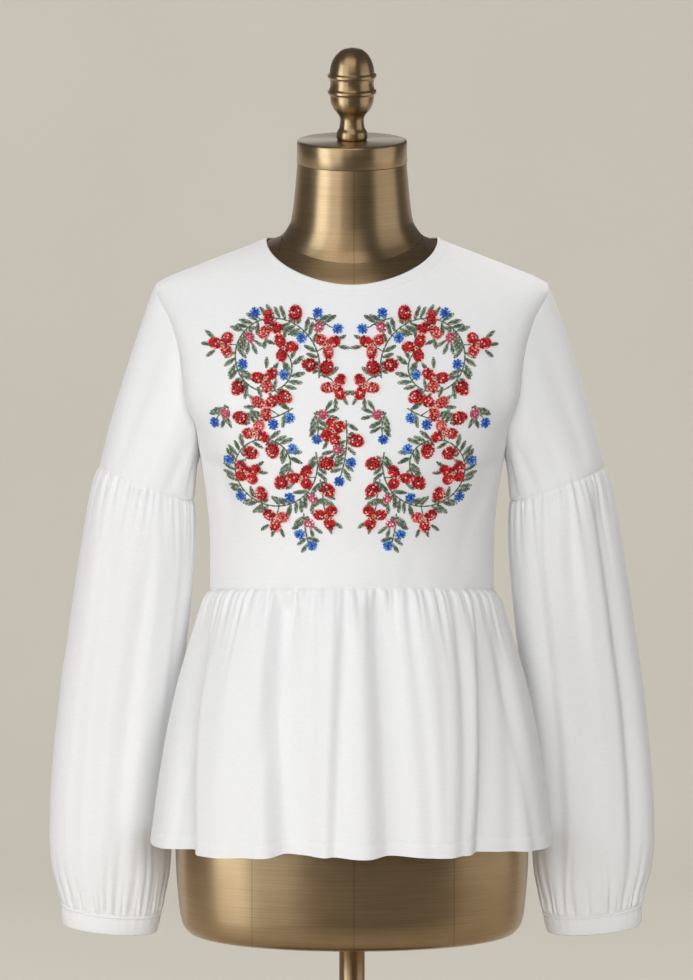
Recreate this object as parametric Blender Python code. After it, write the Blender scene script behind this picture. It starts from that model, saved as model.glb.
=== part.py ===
"""A white knit top with balloon sleeves and a gathered peplum, worn by a limbless dress form on a short stand.

Metres, +Z up, the front faces -Y. The stand's foot is centred on the origin. Heights in the tables are measured
from the underside of the form's torso, which UNDERSIDE_Z lifts above the floor. Left and right are the wearer's,
so the left sleeve is on the +X side.
"""

import math
from collections import namedtuple

import bmesh
import bpy
import numpy as np

# Driving dimensions
UNDERSIDE_Z = 0.240
CLOTH = 0.0015
BAND_CLOTH = 0.0022
SEAM_GAP = 0.0003

# Shoulder line, shared by the cloth and the form that carries it
SHOULDER_Y = 0.004
SHOULDER_NECK_X = 0.0855
SHOULDER_NECK_Z = 0.7060
SHOULDER_SLOPE = 0.386
NECK_RIDGE_ROUND = 0.040
SHOULDER_ROUND = 0.130
SHOULDER_POWER = 0.46
SIDE_ROUNDNESS = 0.92

# Neckline
NECK_DROP = {-1: 0.0322, 1: 0.012}
NECK_CURVE = 1.8
NECK_SHARP = 0.64
NECK_SPREAD = {-1: 0.55, 1: 0.30}
BAND_WIDTH = 0.009

# Waist seam and hem
WAIST_SIDE_Z = 0.350
WAIST_TILT = {-1: 0.200, 1: -0.050}
HEM_SIDE_Z = 0.098
HEM_RISE = {-1: 0.006, 1: 0.002}
SHOULDER_TIP_X = 0.1965
ARMPIT_Z = 0.485

# Cloth grids: rows up the bodice are shares of the way from the waist seam to the shoulder
SIDE_ROWS = (0.0, 0.11, 0.22, 0.33)
ARMHOLE_ROWS = (0.434, 0.46, 0.51, 0.58, 0.66, 0.74, 0.82, 0.89, 0.945, 0.98, 1.0)
SHOULDER_COLUMNS = 4
NECK_COLUMNS = 12
PEPLUM_ROWS = (0.0, 0.045, 0.13, 0.32, 0.56, 0.79, 1.0)
SLEEVE_CAP_STEPS = 5

Body = namedtuple("Body", "height half_width front back front_edge back_edge")
BODICE = (
    Body(0.340, 0.1420, 0.116, 0.080, 0.000, 0.000),
    Body(0.405, 0.1425, 0.118, 0.080, 0.000, 0.000),
    Body(0.450, 0.1465, 0.128, 0.086, 0.000, 0.000),
    Body(0.485, 0.1520, 0.136, 0.092, 0.000, 0.000),
    Body(0.500, 0.1535, 0.137, 0.094, 0.020, 0.020),
    Body(0.520, 0.1555, 0.136, 0.097, 0.036, 0.036),
    Body(0.541, 0.1630, 0.132, 0.099, 0.047, 0.050),
    Body(0.560, 0.1680, 0.127, 0.100, 0.052, 0.058),
    Body(0.586, 0.1706, 0.121, 0.101, 0.055, 0.063),
    Body(0.606, 0.1738, 0.116, 0.101, 0.055, 0.064),
    Body(0.631, 0.1818, 0.111, 0.100, 0.052, 0.060),
    Body(0.661, 0.1965, 0.107, 0.098, 0.046, 0.052),
    Body(0.712, 0.1965, 0.104, 0.095, 0.046, 0.052),
)
FORM = (
    Body(0.000, 0.1500, 0.093, 0.080, 0.000, 0.000),
    Body(0.004, 0.1630, 0.105, 0.092, 0.000, 0.000),
    Body(0.014, 0.1705, 0.110, 0.096, 0.000, 0.000),
    Body(0.030, 0.1735, 0.112, 0.098, 0.000, 0.000),
    Body(0.085, 0.1770, 0.113, 0.099, 0.000, 0.000),
    Body(0.130, 0.1720, 0.111, 0.096, 0.000, 0.000),
    Body(0.200, 0.1530, 0.106, 0.085, 0.000, 0.000),
    Body(0.270, 0.1320, 0.101, 0.076, 0.000, 0.000),
    Body(0.335, 0.1215, 0.098, 0.070, 0.000, 0.000),
    Body(0.400, 0.1250, 0.104, 0.073, 0.000, 0.000),
    Body(0.450, 0.1330, 0.122, 0.080, 0.000, 0.000),
    Body(0.475, 0.1370, 0.129, 0.085, 0.000, 0.000),
    Body(0.500, 0.1410, 0.132, 0.0885, 0.022, 0.022),
    Body(0.520, 0.1440, 0.131, 0.0915, 0.033, 0.035),
    Body(0.541, 0.1500, 0.127, 0.0935, 0.041, 0.045),
    Body(0.560, 0.1550, 0.122, 0.0945, 0.046, 0.052),
    Body(0.586, 0.1590, 0.116, 0.0955, 0.049, 0.057),
    Body(0.606, 0.1620, 0.111, 0.0955, 0.049, 0.058),
    Body(0.631, 0.1680, 0.106, 0.0945, 0.046, 0.054),
    Body(0.656, 0.1765, 0.102, 0.0925, 0.041, 0.046),
    Body(0.712, 0.1765, 0.099, 0.0895, 0.041, 0.046),
)
FORM_DROP = 0.0020
FORM_LOW_ROWS = (0.0, 0.004, 0.014, 0.030, 0.085, 0.130, 0.200, 0.270, 0.335, 0.400, 0.450)
FORM_HIGH_ROWS = (0.475, 0.500, 0.530, 0.560, 0.595, 0.625, 0.648, 0.660)
FORM_NECK_X = 0.066
FORM_NECK_DROP = {-1: 0.0195, 1: 0.004}
FORM_NECK_DEPTH = {-1: 0.064, 1: 0.060}
FORM_SHOULDER_COLUMNS = 3
FORM_NECK_COLUMNS = 10

Neck = namedtuple("Neck", "height radius blend")
NECK_RINGS = (
    Neck(0.7172, 0.0620, 0.35),
    Neck(0.7240, 0.0602, 1.00),
    Neck(0.7530, 0.0572, 1.00),
    Neck(0.7826, 0.0546, 1.00),
)
NECK_CENTRE_Y = 0.006

Skirt = namedtuple("Skirt", "share half_width front back middle_y")
PEPLUM = (
    Skirt(0.00, 0.1432, 0.1170, 0.0810, 0.004),
    Skirt(0.03, 0.1490, 0.1220, 0.0845, 0.004),
    Skirt(0.08, 0.1535, 0.1265, 0.0880, 0.003),
    Skirt(0.18, 0.1612, 0.1315, 0.0960, 0.002),
    Skirt(0.36, 0.1745, 0.1360, 0.1110, -0.001),
    Skirt(0.60, 0.1875, 0.1395, 0.1270, -0.004),
    Skirt(0.82, 0.1962, 0.1415, 0.1370, -0.006),
    Skirt(1.00, 0.2020, 0.1425, 0.1420, -0.008),
)
PEPLUM_GATHERS = 28
PEPLUM_SEED = {-1: 1.0, 1: 2.0}
GATHER_DEPTH = 0.0030
GATHER_LENGTH = 0.16
GATHER_FADE = 1.2
GATHER_WANDER = 0.30
GATHER_UNEVEN = 0.25
FOLD_START = 0.25
SIDE_SEAM_CALM = 5
HEM_LIFT = 0.20

# Long folds of the peplum: place across the panel in degrees at the seam and at the hem, depth at the hem,
# half width in degrees on each side, and the share of the length at which the fold has opened
Fold = namedtuple("Fold", "top bottom depth left right opens")
FRONT_FOLDS = (
    Fold(-70, -55, 0.0140, 12, 3, 0.4),
    Fold(-46, -42, -0.0030, 6, 6, 0.5),
    Fold(-34, -22, 0.0170, 9, 8, 0.1),
    Fold(-3, -5, 0.0050, 4, 4, 0.2),
    Fold(9, 11, 0.0130, 6, 9, 0.1),
    Fold(42, 33, 0.0060, 5, 4, 0.3),
    Fold(54, 41, 0.0160, 3, 12, 0.2),
    Fold(70, 55, 0.0050, 5, 5, 0.4),
)
BACK_FOLDS = (
    Fold(-66, -65, 0.0090, 9, 9, 0.4),
    Fold(-40, -35, 0.0130, 9, 5, 0.2),
    Fold(-15, -18, 0.0050, 5, 6, 0.4),
    Fold(2, 4, 0.0140, 6, 9, 0.1),
    Fold(22, 21, 0.0050, 5, 5, 0.4),
    Fold(43, 38, 0.0120, 4, 10, 0.2),
    Fold(66, 65, 0.0090, 9, 9, 0.4),
)

# Balloon sleeve: rings from the seam above the elbow down to the cuff
Ring = namedtuple("Ring", "height rise pitch centre_x half_width centre_y half_depth")
BALLOON = (
    Ring(0.4575, 0.0168, -0.0030, 0.2055, 0.0470, 0.014, 0.0500),
    Ring(0.4460, 0.0165, -0.0025, 0.2075, 0.0498, 0.016, 0.0520),
    Ring(0.4280, 0.0150, -0.0010, 0.2097, 0.0528, 0.018, 0.0535),
    Ring(0.3950, 0.0100, 0.0000, 0.2132, 0.0562, 0.023, 0.0540),
    Ring(0.3450, 0.0050, 0.0000, 0.2192, 0.0588, 0.031, 0.0520),
    Ring(0.2950, 0.0030, 0.0000, 0.2252, 0.0600, 0.040, 0.0490),
    Ring(0.2400, 0.0020, 0.0000, 0.2320, 0.0612, 0.050, 0.0460),
    Ring(0.1850, 0.0010, 0.0000, 0.2375, 0.0616, 0.059, 0.0435),
    Ring(0.1300, 0.0000, 0.0000, 0.2412, 0.0622, 0.065, 0.0420),
    Ring(0.0850, 0.0000, 0.0005, 0.2425, 0.0618, 0.068, 0.0405),
    Ring(0.0550, 0.0010, 0.0020, 0.2422, 0.0592, 0.069, 0.0370),
    Ring(0.0320, 0.0035, 0.0035, 0.2420, 0.0535, 0.069, 0.0330),
    Ring(0.0165, 0.0046, 0.0045, 0.2420, 0.0500, 0.069, 0.0290),
)
CUFF = (
    Ring(0.0165, 0.0046, 0.0045, 0.2420, 0.0500, 0.069, 0.0290),
    Ring(0.0060, 0.0043, 0.0038, 0.2430, 0.0488, 0.069, 0.0288),
    Ring(-0.0050, 0.0040, 0.0030, 0.2440, 0.0474, 0.069, 0.0282),
)
BALLOON_GATHERS = 24
SLEEVE_SEED = {-1: 2.0, 1: 4.0}
BALLOON_GATHER_DEPTH = 0.0024
BALLOON_FOLD_END = 0.25
BALLOON_ROWS = (0.0, 0.035, 0.10, 0.22, 0.40, 0.58, 0.76, 0.90, 0.965, 1.0)
CUFF_COLUMNS = 24
CUFF_GATHER_LENGTH = 0.10
ARMHOLE_HANDLE = (0.31, 0.0, -0.95)
SEAM_HANDLE = (0.20, 0.05, -0.98)

# Long folds of each balloon: degrees round from the outer side, through the front
SLEEVE_FOLDS = {
    -1: (
        Fold(58, 62, 0.0060, 9, 14, 0.2),
        Fold(102, 98, 0.0060, 14, 8, 0.3),
        Fold(148, 146, 0.0040, 10, 10, 0.3),
        Fold(238, 240, 0.0050, 14, 14, 0.3),
        Fold(300, 296, 0.0045, 14, 14, 0.3),
    ),
    1: (
        Fold(44, 50, 0.0070, 14, 7, 0.1),
        Fold(84, 88, 0.0065, 8, 13, 0.2),
        Fold(122, 124, 0.0050, 9, 9, 0.2),
        Fold(236, 238, 0.0050, 14, 14, 0.3),
        Fold(304, 300, 0.0045, 14, 14, 0.3),
    ),
}

# Brass fittings: turned profiles, down their outer side
Turn = namedtuple("Turn", "radius height")
FINIAL_Z = 0.8062
FINIAL_PROFILE = (
    Turn(0.0000, 0.0930),
    Turn(0.0080, 0.0916),
    Turn(0.0150, 0.0868),
    Turn(0.0198, 0.0790),
    Turn(0.0222, 0.0700),
    Turn(0.0226, 0.0672),
    Turn(0.0244, 0.0658),
    Turn(0.0244, 0.0636),
    Turn(0.0226, 0.0620),
    Turn(0.0218, 0.0562),
    Turn(0.0226, 0.0510),
    Turn(0.0244, 0.0496),
    Turn(0.0244, 0.0474),
    Turn(0.0224, 0.0458),
    Turn(0.0216, 0.0390),
    Turn(0.0184, 0.0310),
    Turn(0.0134, 0.0248),
    Turn(0.0120, 0.0200),
    Turn(0.0128, 0.0120),
    Turn(0.0152, 0.0078),
    Turn(0.0156, 0.0030),
    Turn(0.0144, 0.0003),
    Turn(0.0000, 0.0003),
)
CAP_PROFILE = (
    Turn(0.0000, 0.8062),
    Turn(0.0530, 0.8062),
    Turn(0.0548, 0.8044),
    Turn(0.0552, 0.7829),
    Turn(0.0000, 0.7829),
)
POLE_RADIUS = 0.0130
BOSS_TOP_Z = 0.0220
FOOT_PROFILE = (
    Turn(0.0000, 0.0220),
    Turn(0.0210, 0.0220),
    Turn(0.0240, 0.0195),
    Turn(0.0240, 0.0135),
    Turn(0.1440, 0.0120),
    Turn(0.1500, 0.0090),
    Turn(0.1500, 0.0000),
    Turn(0.0000, 0.0000),
)
FINIAL_STEPS = 24
CAP_STEPS = 40
POLE_STEPS = 24
FOOT_STEPS = 48

JERSEY_WHITE = (0.86, 0.86, 0.85, 1.0)
ANTIQUE_BRASS = (0.36, 0.27, 0.15, 1.0)


def clear_scene():
    for item in list(bpy.data.objects):
        bpy.data.objects.remove(item)


def material(name, colour, roughness, metallic):
    made = bpy.data.materials.new(name)
    made.use_nodes = True
    shader = made.node_tree.nodes["Principled BSDF"]
    shader.inputs["Base Color"].default_value = colour
    shader.inputs["Roughness"].default_value = roughness
    shader.inputs["Metallic"].default_value = metallic
    return made


def smooth_curve(xs, ys, at):
    """A cubic through the points of a table that never overshoots them."""
    xs = np.asarray(xs, float)
    ys = np.asarray(ys, float)
    at = np.clip(np.asarray(at, float), xs[0], xs[-1])
    step = np.diff(xs)
    slope = np.diff(ys) / step
    tangent = np.zeros(len(xs))
    same_way = slope[:-1] * slope[1:] > 0
    total = np.where(same_way, slope[:-1] + slope[1:], 1.0)
    tangent[1:-1] = np.where(same_way, 2 * slope[:-1] * slope[1:] / total, 0.0)
    tangent[0], tangent[-1] = slope[0], slope[-1]
    i = np.clip(np.searchsorted(xs, at, side="right") - 1, 0, len(step) - 1)
    t = (at - xs[i]) / step[i]
    return (
        ys[i] * (1 + 2 * t) * (1 - t) ** 2
        + step[i] * tangent[i] * t * (1 - t) ** 2
        + ys[i + 1] * t * t * (3 - 2 * t)
        + step[i] * tangent[i + 1] * t * t * (t - 1)
    )


def column(table, name, at, key="height"):
    """A named column of a table, read at values of its key column."""
    rows = sorted(table, key=lambda row: getattr(row, key))
    return smooth_curve([getattr(r, key) for r in rows], [getattr(r, name) for r in rows], at)


def shoulder_z(x):
    """Height of the shoulder line, which runs on under the neck with a rounded middle."""
    width = np.abs(x)
    bend = width**2 / (2 * NECK_RIDGE_ROUND) + NECK_RIDGE_ROUND / 2
    rounded = np.where(width < NECK_RIDGE_ROUND, bend, width)
    return SHOULDER_NECK_Z - SHOULDER_SLOPE * (rounded - SHOULDER_NECK_X)


def waist_z(y, face):
    """Height of the waist seam, which lies in a plane on each face of the body."""
    return WAIST_SIDE_Z + WAIST_TILT[face] * face * (y - SHOULDER_Y)


def waist_normal(face):
    return np.array([0, -WAIST_TILT[face] * face, 1])


def body_y(table, x, z, face, drop=0.0):
    """Depth of a body's front (face -1) or back (face 1) at a place across and up."""
    half = column(table, "half_width", z)
    inward = np.sqrt(np.clip(1 - (x / half) ** 2, 0, 1)) ** SIDE_ROUNDNESS
    side = "front" if face < 0 else "back"
    edge = column(table, side + "_edge", z)
    reach = edge + (column(table, side, z) - edge) * inward
    below = np.clip((shoulder_z(x) - drop - z) / SHOULDER_ROUND, 0, 1)
    return SHOULDER_Y + face * reach * (1 - (1 - below) ** 2) ** SHOULDER_POWER


def neckline_z(x, face, outset, half=SHOULDER_NECK_X, fall=None):
    """Height of a neck curve, moved outset metres out from the neck."""
    edge = half + outset
    deep = (NECK_DROP[face] if fall is None else fall) + outset * NECK_SPREAD[face]
    share = np.clip(np.abs(x) / edge, 0, 1)
    return shoulder_z(edge) - deep * (1 - share**NECK_CURVE) ** NECK_SHARP


def even_neck_shares(count, face, table, half, fall, drop=0.0):
    """Places across a neckline, from -1 to 1, that part it into stretches of one length."""
    turn = np.linspace(-math.pi / 2, math.pi / 2, 400)
    x = half * np.sin(turn)
    z = neckline_z(x, face, 0.0, half, fall) - drop
    z[[0, -1]] = shoulder_z(half) - drop
    points = np.stack([x, body_y(table, x, z, face, drop), z], axis=1)
    travelled = np.concatenate([[0], np.cumsum(np.linalg.norm(np.diff(points, axis=0), axis=1))])
    places = np.interp(np.linspace(0, travelled[-1], count + 1), travelled, x / half)
    places[[0, -1]] = -1.0, 1.0
    return places


def bodice_grid(face):
    """Points of one bodice panel, as rows from the waist seam up to the shoulder and neckline."""
    edge = SHOULDER_NECK_X + BAND_WIDTH
    neck = edge * even_neck_shares(NECK_COLUMNS, face, BODICE, edge, NECK_DROP[face])
    shoulder = np.linspace(SHOULDER_TIP_X, edge, SHOULDER_COLUMNS + 1)[:-1]
    top_x = np.concatenate([-shoulder, neck, shoulder[::-1]])
    top_turn = np.arcsin(np.clip(top_x / SHOULDER_TIP_X, -1, 1))
    low_turn = np.linspace(-math.pi / 2, math.pi / 2, len(top_x))
    on_shoulder = np.abs(top_x) >= edge - 1e-9
    top_z = np.where(on_shoulder, shoulder_z(top_x), neckline_z(top_x, face, BAND_WIDTH))
    low_x = column(BODICE, "half_width", WAIST_SIDE_Z) * np.sin(low_turn)
    low_z = waist_z(body_y(BODICE, low_x, WAIST_SIDE_Z, face), face)
    tip_z = shoulder_z(SHOULDER_TIP_X)
    grid = []
    for share in SIDE_ROWS + ARMHOLE_ROWS:
        side_z = WAIST_SIDE_Z + share * (tip_z - WAIST_SIDE_Z)
        turn = (1 - share) * low_turn + share * top_turn
        x = column(BODICE, "half_width", side_z) * np.sin(turn)
        z = low_z + share * (top_z - low_z)
        grid.append(np.stack([x, body_y(BODICE, x, z, face), z], axis=1))
    grid = np.array(grid)
    grid[0, :, 2] = waist_z(grid[0, :, 1], face)
    return grid


def unit(vectors):
    return vectors / np.maximum(np.linalg.norm(vectors, axis=-1, keepdims=True), 1e-12)


def vertex_normals(grid, closed):
    """Unit normals of a grid of points, each the mean of the squares round it."""
    wrapped = np.concatenate([grid, grid[:, :1]], axis=1) if closed else grid
    square = unit(np.cross(wrapped[1:, 1:] - wrapped[:-1, :-1], wrapped[1:, :-1] - wrapped[:-1, 1:]))
    rows, columns = square.shape[:2]
    total = np.zeros(wrapped.shape)
    for down in (0, 1):
        for along in (0, 1):
            total[down : down + rows, along : along + columns] += square
    if closed:
        total[:, 0] += total[:, -1]
        total = total[:, :-1]
    return unit(total)


def flattened(normals, axis):
    """Normals with their part along an axis taken out, so that a rim lies square to that axis."""
    axis = unit(np.asarray(axis, float))
    return unit(normals - (normals @ axis)[..., None] * axis)


def outward_normals(grid, closed, centre):
    """Vertex normals of a grid, turned to point away from a centre."""
    normals = vertex_normals(grid, closed)
    return normals * np.sign(np.sum((grid - centre) * normals))


def new_object(name, mesh_data, cover, parent):
    made = bpy.data.objects.new(name, mesh_data)
    mesh_data.materials.append(cover)
    made.parent = parent
    bpy.context.scene.collection.objects.link(made)
    return made


def cloth_wall(name, outer, inner, closed, cover, parent):
    """A closed wall between two grids of points. A closed grid joins its last column to its first."""
    shape = bmesh.new()
    sheets = [[[shape.verts.new(p) for p in row] for row in grid] for grid in (outer, inner)]
    rows, columns = outer.shape[:2]
    last = columns if closed else columns - 1
    for r in range(rows - 1):
        for c in range(last):
            d = (c + 1) % columns
            falling = np.linalg.norm(outer[r, c] - outer[r + 1, d])
            rising = np.linalg.norm(outer[r, d] - outer[r + 1, c])
            for sheet, turned in ((sheets[0], False), (sheets[1], True)):
                corners = [sheet[r][c], sheet[r][d], sheet[r + 1][d], sheet[r + 1][c]]
                if rising < falling:
                    corners = corners[1:] + corners[:1]
                for triangle in (corners[:3], [corners[0]] + corners[2:]):
                    shape.faces.new(triangle[::-1] if turned else triangle)
    for c in range(last):
        d = (c + 1) % columns
        for r, turned in ((0, True), (rows - 1, False)):
            rim = [sheets[0][r][c], sheets[0][r][d], sheets[1][r][d], sheets[1][r][c]]
            shape.faces.new(rim[::-1] if turned else rim)
    if not closed:
        for r in range(rows - 1):
            for c, turned in ((0, False), (columns - 1, True)):
                rim = [sheets[0][r][c], sheets[0][r + 1][c], sheets[1][r + 1][c], sheets[1][r][c]]
                shape.faces.new(rim[::-1] if turned else rim)
    bmesh.ops.recalc_face_normals(shape, faces=shape.faces)
    made = bpy.data.meshes.new(name)
    shape.to_mesh(made)
    shape.free()
    made.shade_smooth()
    return new_object(name, made, cover, parent)


def armhole_centre(side):
    """Middle of an armhole, which the rims of the seam round it point to."""
    tip_z = shoulder_z(SHOULDER_TIP_X)
    mid_z = (ARMPIT_Z + tip_z) / 2
    return np.array([side * float(column(BODICE, "half_width", mid_z)), SHOULDER_Y, mid_z])


def shoulder_columns():
    """Which columns of a bodice panel end in the shoulder seam."""
    ends = np.zeros(2 * SHOULDER_COLUMNS + NECK_COLUMNS + 1, bool)
    ends[: SHOULDER_COLUMNS + 1] = True
    ends[-SHOULDER_COLUMNS - 1 :] = True
    return ends


def bodice_surface(face):
    """Outer points of one bodice panel, and the directions its wall's thickness is measured in."""
    grid = bodice_grid(face)
    normals = outward_normals(grid, False, np.array([0, SHOULDER_Y, 0.5]))
    normals[0] = flattened(normals[0], waist_normal(face))
    ends = shoulder_columns()
    normals[-1, ends] = flattened(normals[-1, ends], (0, 1, 0))
    armpit = len(SIDE_ROWS)
    for c, side in ((0, -1), (-1, 1)):
        normals[:armpit, c] = flattened(normals[:armpit, c], (0, 1, 0))
        normals[armpit:, c] = unit(grid[armpit:, c] - armhole_centre(side))
    return grid, normals


def bodice_panel(name, face, cover, parent):
    grid, normals = bodice_surface(face)
    inner = grid - CLOTH * normals
    half_gap = face * SEAM_GAP / 2
    for sheet in (grid, inner):
        sheet[: len(SIDE_ROWS) + 1, [0, -1], 1] += half_gap
        sheet[-1, shoulder_columns(), 1] += half_gap
    return cloth_wall(name, grid, inner, False, cover, parent)


def neckband(cover, parent):
    """The narrow band round the neckline. Its outer edge follows the panels' edge, point for point."""
    rows = [[], [], []]
    seam_normals = []
    neck = slice(SHOULDER_COLUMNS, SHOULDER_COLUMNS + NECK_COLUMNS)
    for face in (-1, 1):
        grid, normals = bodice_surface(face)
        seam = grid[-1, ::-face][neck]
        seam_normals.append(normals[-1, ::-face][neck])
        shares = seam[:, 0] / (SHOULDER_NECK_X + BAND_WIDTH)
        for row, outset in ((0, 0.0), (1, BAND_WIDTH / 2)):
            x = (SHOULDER_NECK_X + outset) * shares
            z = neckline_z(x, face, outset)
            rows[row] += list(np.stack([x, body_y(BODICE, x, z, face), z], axis=1))
        rows[2] += list(seam)
    grid = np.array(rows)
    grid[2] += SEAM_GAP * unit(grid[1] - grid[2])
    normals = outward_normals(grid, True, np.array([0, SHOULDER_Y, 0.5]))
    normals[2] = np.concatenate(seam_normals)
    raised = grid + (BAND_CLOTH - CLOTH) * normals
    return cloth_wall("neckband", raised, grid - CLOTH * normals, True, cover, parent)


def wander(count, seed):
    """Uneven but repeatable offsets between -1 and 1."""
    index = np.arange(count)
    return np.sin(index * 2.399 + seed) * 0.6 + np.sin(index * 4.1 + 2.3 * seed) * 0.4


def bell(distance, spread):
    return np.exp(-((distance / spread) ** 2))


def fading(share, length):
    """How much of a gather is left at a share of the cloth's length away from its seam."""
    return np.exp(-((share / length) ** GATHER_FADE))


def long_folds(folds, degrees, share):
    """How far inward the long folds take the cloth, at places round and along it."""
    total = np.zeros(np.broadcast(degrees, share).shape)
    for fold in folds:
        middle = fold.top + (fold.bottom - fold.top) * share
        opening = np.clip(share / fold.opens, 0, 1)
        opening = opening * opening * (3 - 2 * opening)
        spread = np.where(degrees < middle, fold.left, fold.right)
        depth = fold.depth * (FOLD_START + (1 - FOLD_START) * opening)
        total += depth * bell(degrees - middle, spread)
    return total


def gather_places(count, low, high, seed):
    """Uneven places of the gathers between two ends, in degrees."""
    pitch = (high - low) / count
    even = low + pitch * (np.arange(count) + 0.5)
    return even + GATHER_WANDER * pitch * wander(count, seed)


def gather_columns(places, low, high, closed):
    """Columns on each gather and between each two, so that every gather has a trough and a ridge."""
    if closed:
        ends = np.concatenate([places, [places[0] + high - low]])
        return np.sort(np.concatenate([places, (ends[:-1] + ends[1:]) / 2]))
    return np.sort(np.concatenate([[low, high], places, (places[:-1] + places[1:]) / 2]))


def gathers(places, degrees, seed, wrap=None):
    """Wave of the gathers across the cloth: 1 in a trough and -1 on a ridge."""
    ends = places if wrap is None else np.concatenate([places - wrap, places, places + wrap])
    deep = 1 - GATHER_UNEVEN + GATHER_UNEVEN * wander(len(places), seed + 1)
    deep = deep if wrap is None else np.tile(deep, 3)
    nearest = np.argmin(np.abs(degrees[..., None] - ends), axis=-1)
    order = np.sort(ends)
    position = np.interp(degrees, order, np.arange(len(order), dtype=float))
    return np.cos(2 * math.pi * position) * deep[nearest]


def peplum_grid(face, turns, shares):
    """Points of a peplum panel without its folds: turns are radians across, shares are down its length."""
    turn, share = np.meshgrid(turns, shares)
    side = "front" if face < 0 else "back"
    reach = column(PEPLUM, side, share, "share") * np.abs(np.cos(turn)) ** SIDE_ROUNDNESS
    x = column(PEPLUM, "half_width", share, "share") * np.sin(turn)
    y = column(PEPLUM, "middle_y", share, "share") + face * reach
    top = waist_z(y[0], face)
    low = HEM_SIDE_Z + HEM_RISE[face] * np.cos(turn) ** 2
    return np.stack([x, y, top + (low - top) * share], axis=2)


def peplum_panel(name, face, folds, seed, cover, parent):
    places = gather_places(PEPLUM_GATHERS, -90, 90, seed)
    degrees = gather_columns(places, -90, 90, False)
    grid = peplum_grid(face, np.radians(degrees), PEPLUM_ROWS)
    centre = np.array([0, 0, HEM_SIDE_Z])
    normals = outward_normals(grid, False, centre)
    share = np.broadcast_to(np.array(PEPLUM_ROWS)[:, None], grid.shape[:2])
    across = np.broadcast_to(degrees, grid.shape[:2])
    calm_edge = 1 - bell(np.abs(across) - 90, SIDE_SEAM_CALM)
    small = GATHER_DEPTH * fading(share, GATHER_LENGTH) * gathers(places, across, seed)
    large = long_folds(folds, across, share) * calm_edge
    grid = grid - (small * calm_edge + large)[..., None] * flattened(normals, (0, 0, 1))
    grid[..., 2] += HEM_LIFT * large * share
    grid[0, :, 2] = waist_z(grid[0, :, 1], face)
    normals = outward_normals(grid, False, centre)
    normals[0] = flattened(normals[0], waist_normal(face))
    normals[:, [0, -1]] = flattened(normals[:, [0, -1]], (0, 1, 0))
    inner = grid - CLOTH * normals
    for sheet in (grid, inner):
        sheet[0, :, 2] -= SEAM_GAP
        sheet[:, [0, -1], 1] += face * SEAM_GAP / 2
    return cloth_wall(name, grid, inner, False, cover, parent)


def ring_points(table, side, degrees, heights):
    """Points of a sleeve's rings: degrees run from the outer side, through the front, round to it again."""
    turn = np.radians(degrees)[None, :]
    level = np.asarray(heights, float)[:, None]
    out = column(table, "half_width", level) * np.cos(turn)
    x = side * (column(table, "centre_x", level) + out)
    y = column(table, "centre_y", level) - column(table, "half_depth", level) * np.sin(turn)
    tilt = column(table, "rise", level) * np.cos(turn) - column(table, "pitch", level) * np.sin(turn)
    z = level + tilt
    return np.stack(np.broadcast_arrays(x, y, z), axis=2)


def ring_axis(ring, side):
    """Direction square to a ring, pointing up the sleeve."""
    across = np.array([side * ring.half_width, 0, ring.rise])
    along = np.array([0, ring.half_depth, ring.pitch])
    return unit(side * np.cross(across, along))


def sleeve_seam_degrees():
    """Places round the sleeve that meet the bodice's armhole rows, as one whole turn."""
    low = ARMHOLE_ROWS[0]
    level = np.array(ARMHOLE_ROWS[::-1])
    half_turn = np.degrees(np.arccos(np.clip(2 * (level - low) / (1 - low) - 1, -1, 1)))
    return np.concatenate([half_turn, 360 - half_turn[-2:0:-1]])


def armhole_loop(side):
    """Points of the armhole from the shoulder tip, down the front to the armpit, and up the back."""
    column_at = 0 if side < 0 else -1
    first = len(SIDE_ROWS)
    front = bodice_grid(-1)[first:, column_at][::-1]
    back = bodice_grid(1)[first:, column_at]
    return np.concatenate([front, back[1:-1]])


def upper_sleeve(name, side, cover, parent):
    """The plain upper sleeve, from the armhole to the seam that the balloon is gathered to."""
    start = armhole_loop(side)
    degrees = sleeve_seam_degrees()
    end = ring_points(BALLOON, side, degrees, [BALLOON[0].height])[0]
    reach = np.linalg.norm(end - start, axis=1, keepdims=True) / 3
    mirror = np.array([side, 1, 1])
    leave = start + reach * np.array(ARMHOLE_HANDLE) * mirror
    arrive = end - reach * np.array(SEAM_HANDLE) * mirror
    steps = np.linspace(0, 1, SLEEVE_CAP_STEPS + 1)[:, None, None]
    grid = (
        start * (1 - steps) ** 3
        + 3 * leave * steps * (1 - steps) ** 2
        + 3 * arrive * steps**2 * (1 - steps)
        + end * steps**3
    )
    middle = grid.mean(axis=1, keepdims=True)
    normals = outward_normals(grid, True, middle)
    normals[0] = unit(start - armhole_centre(side))
    axis = ring_axis(BALLOON[0], side)
    normals[-1] = flattened(normals[-1], axis)
    inner = grid - CLOTH * normals
    for sheet in (grid, inner):
        sheet[0, :, 0] += side * SEAM_GAP
        sheet[-1] += axis * SEAM_GAP / 2
    return cloth_wall(name, grid, inner, True, cover, parent)


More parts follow.
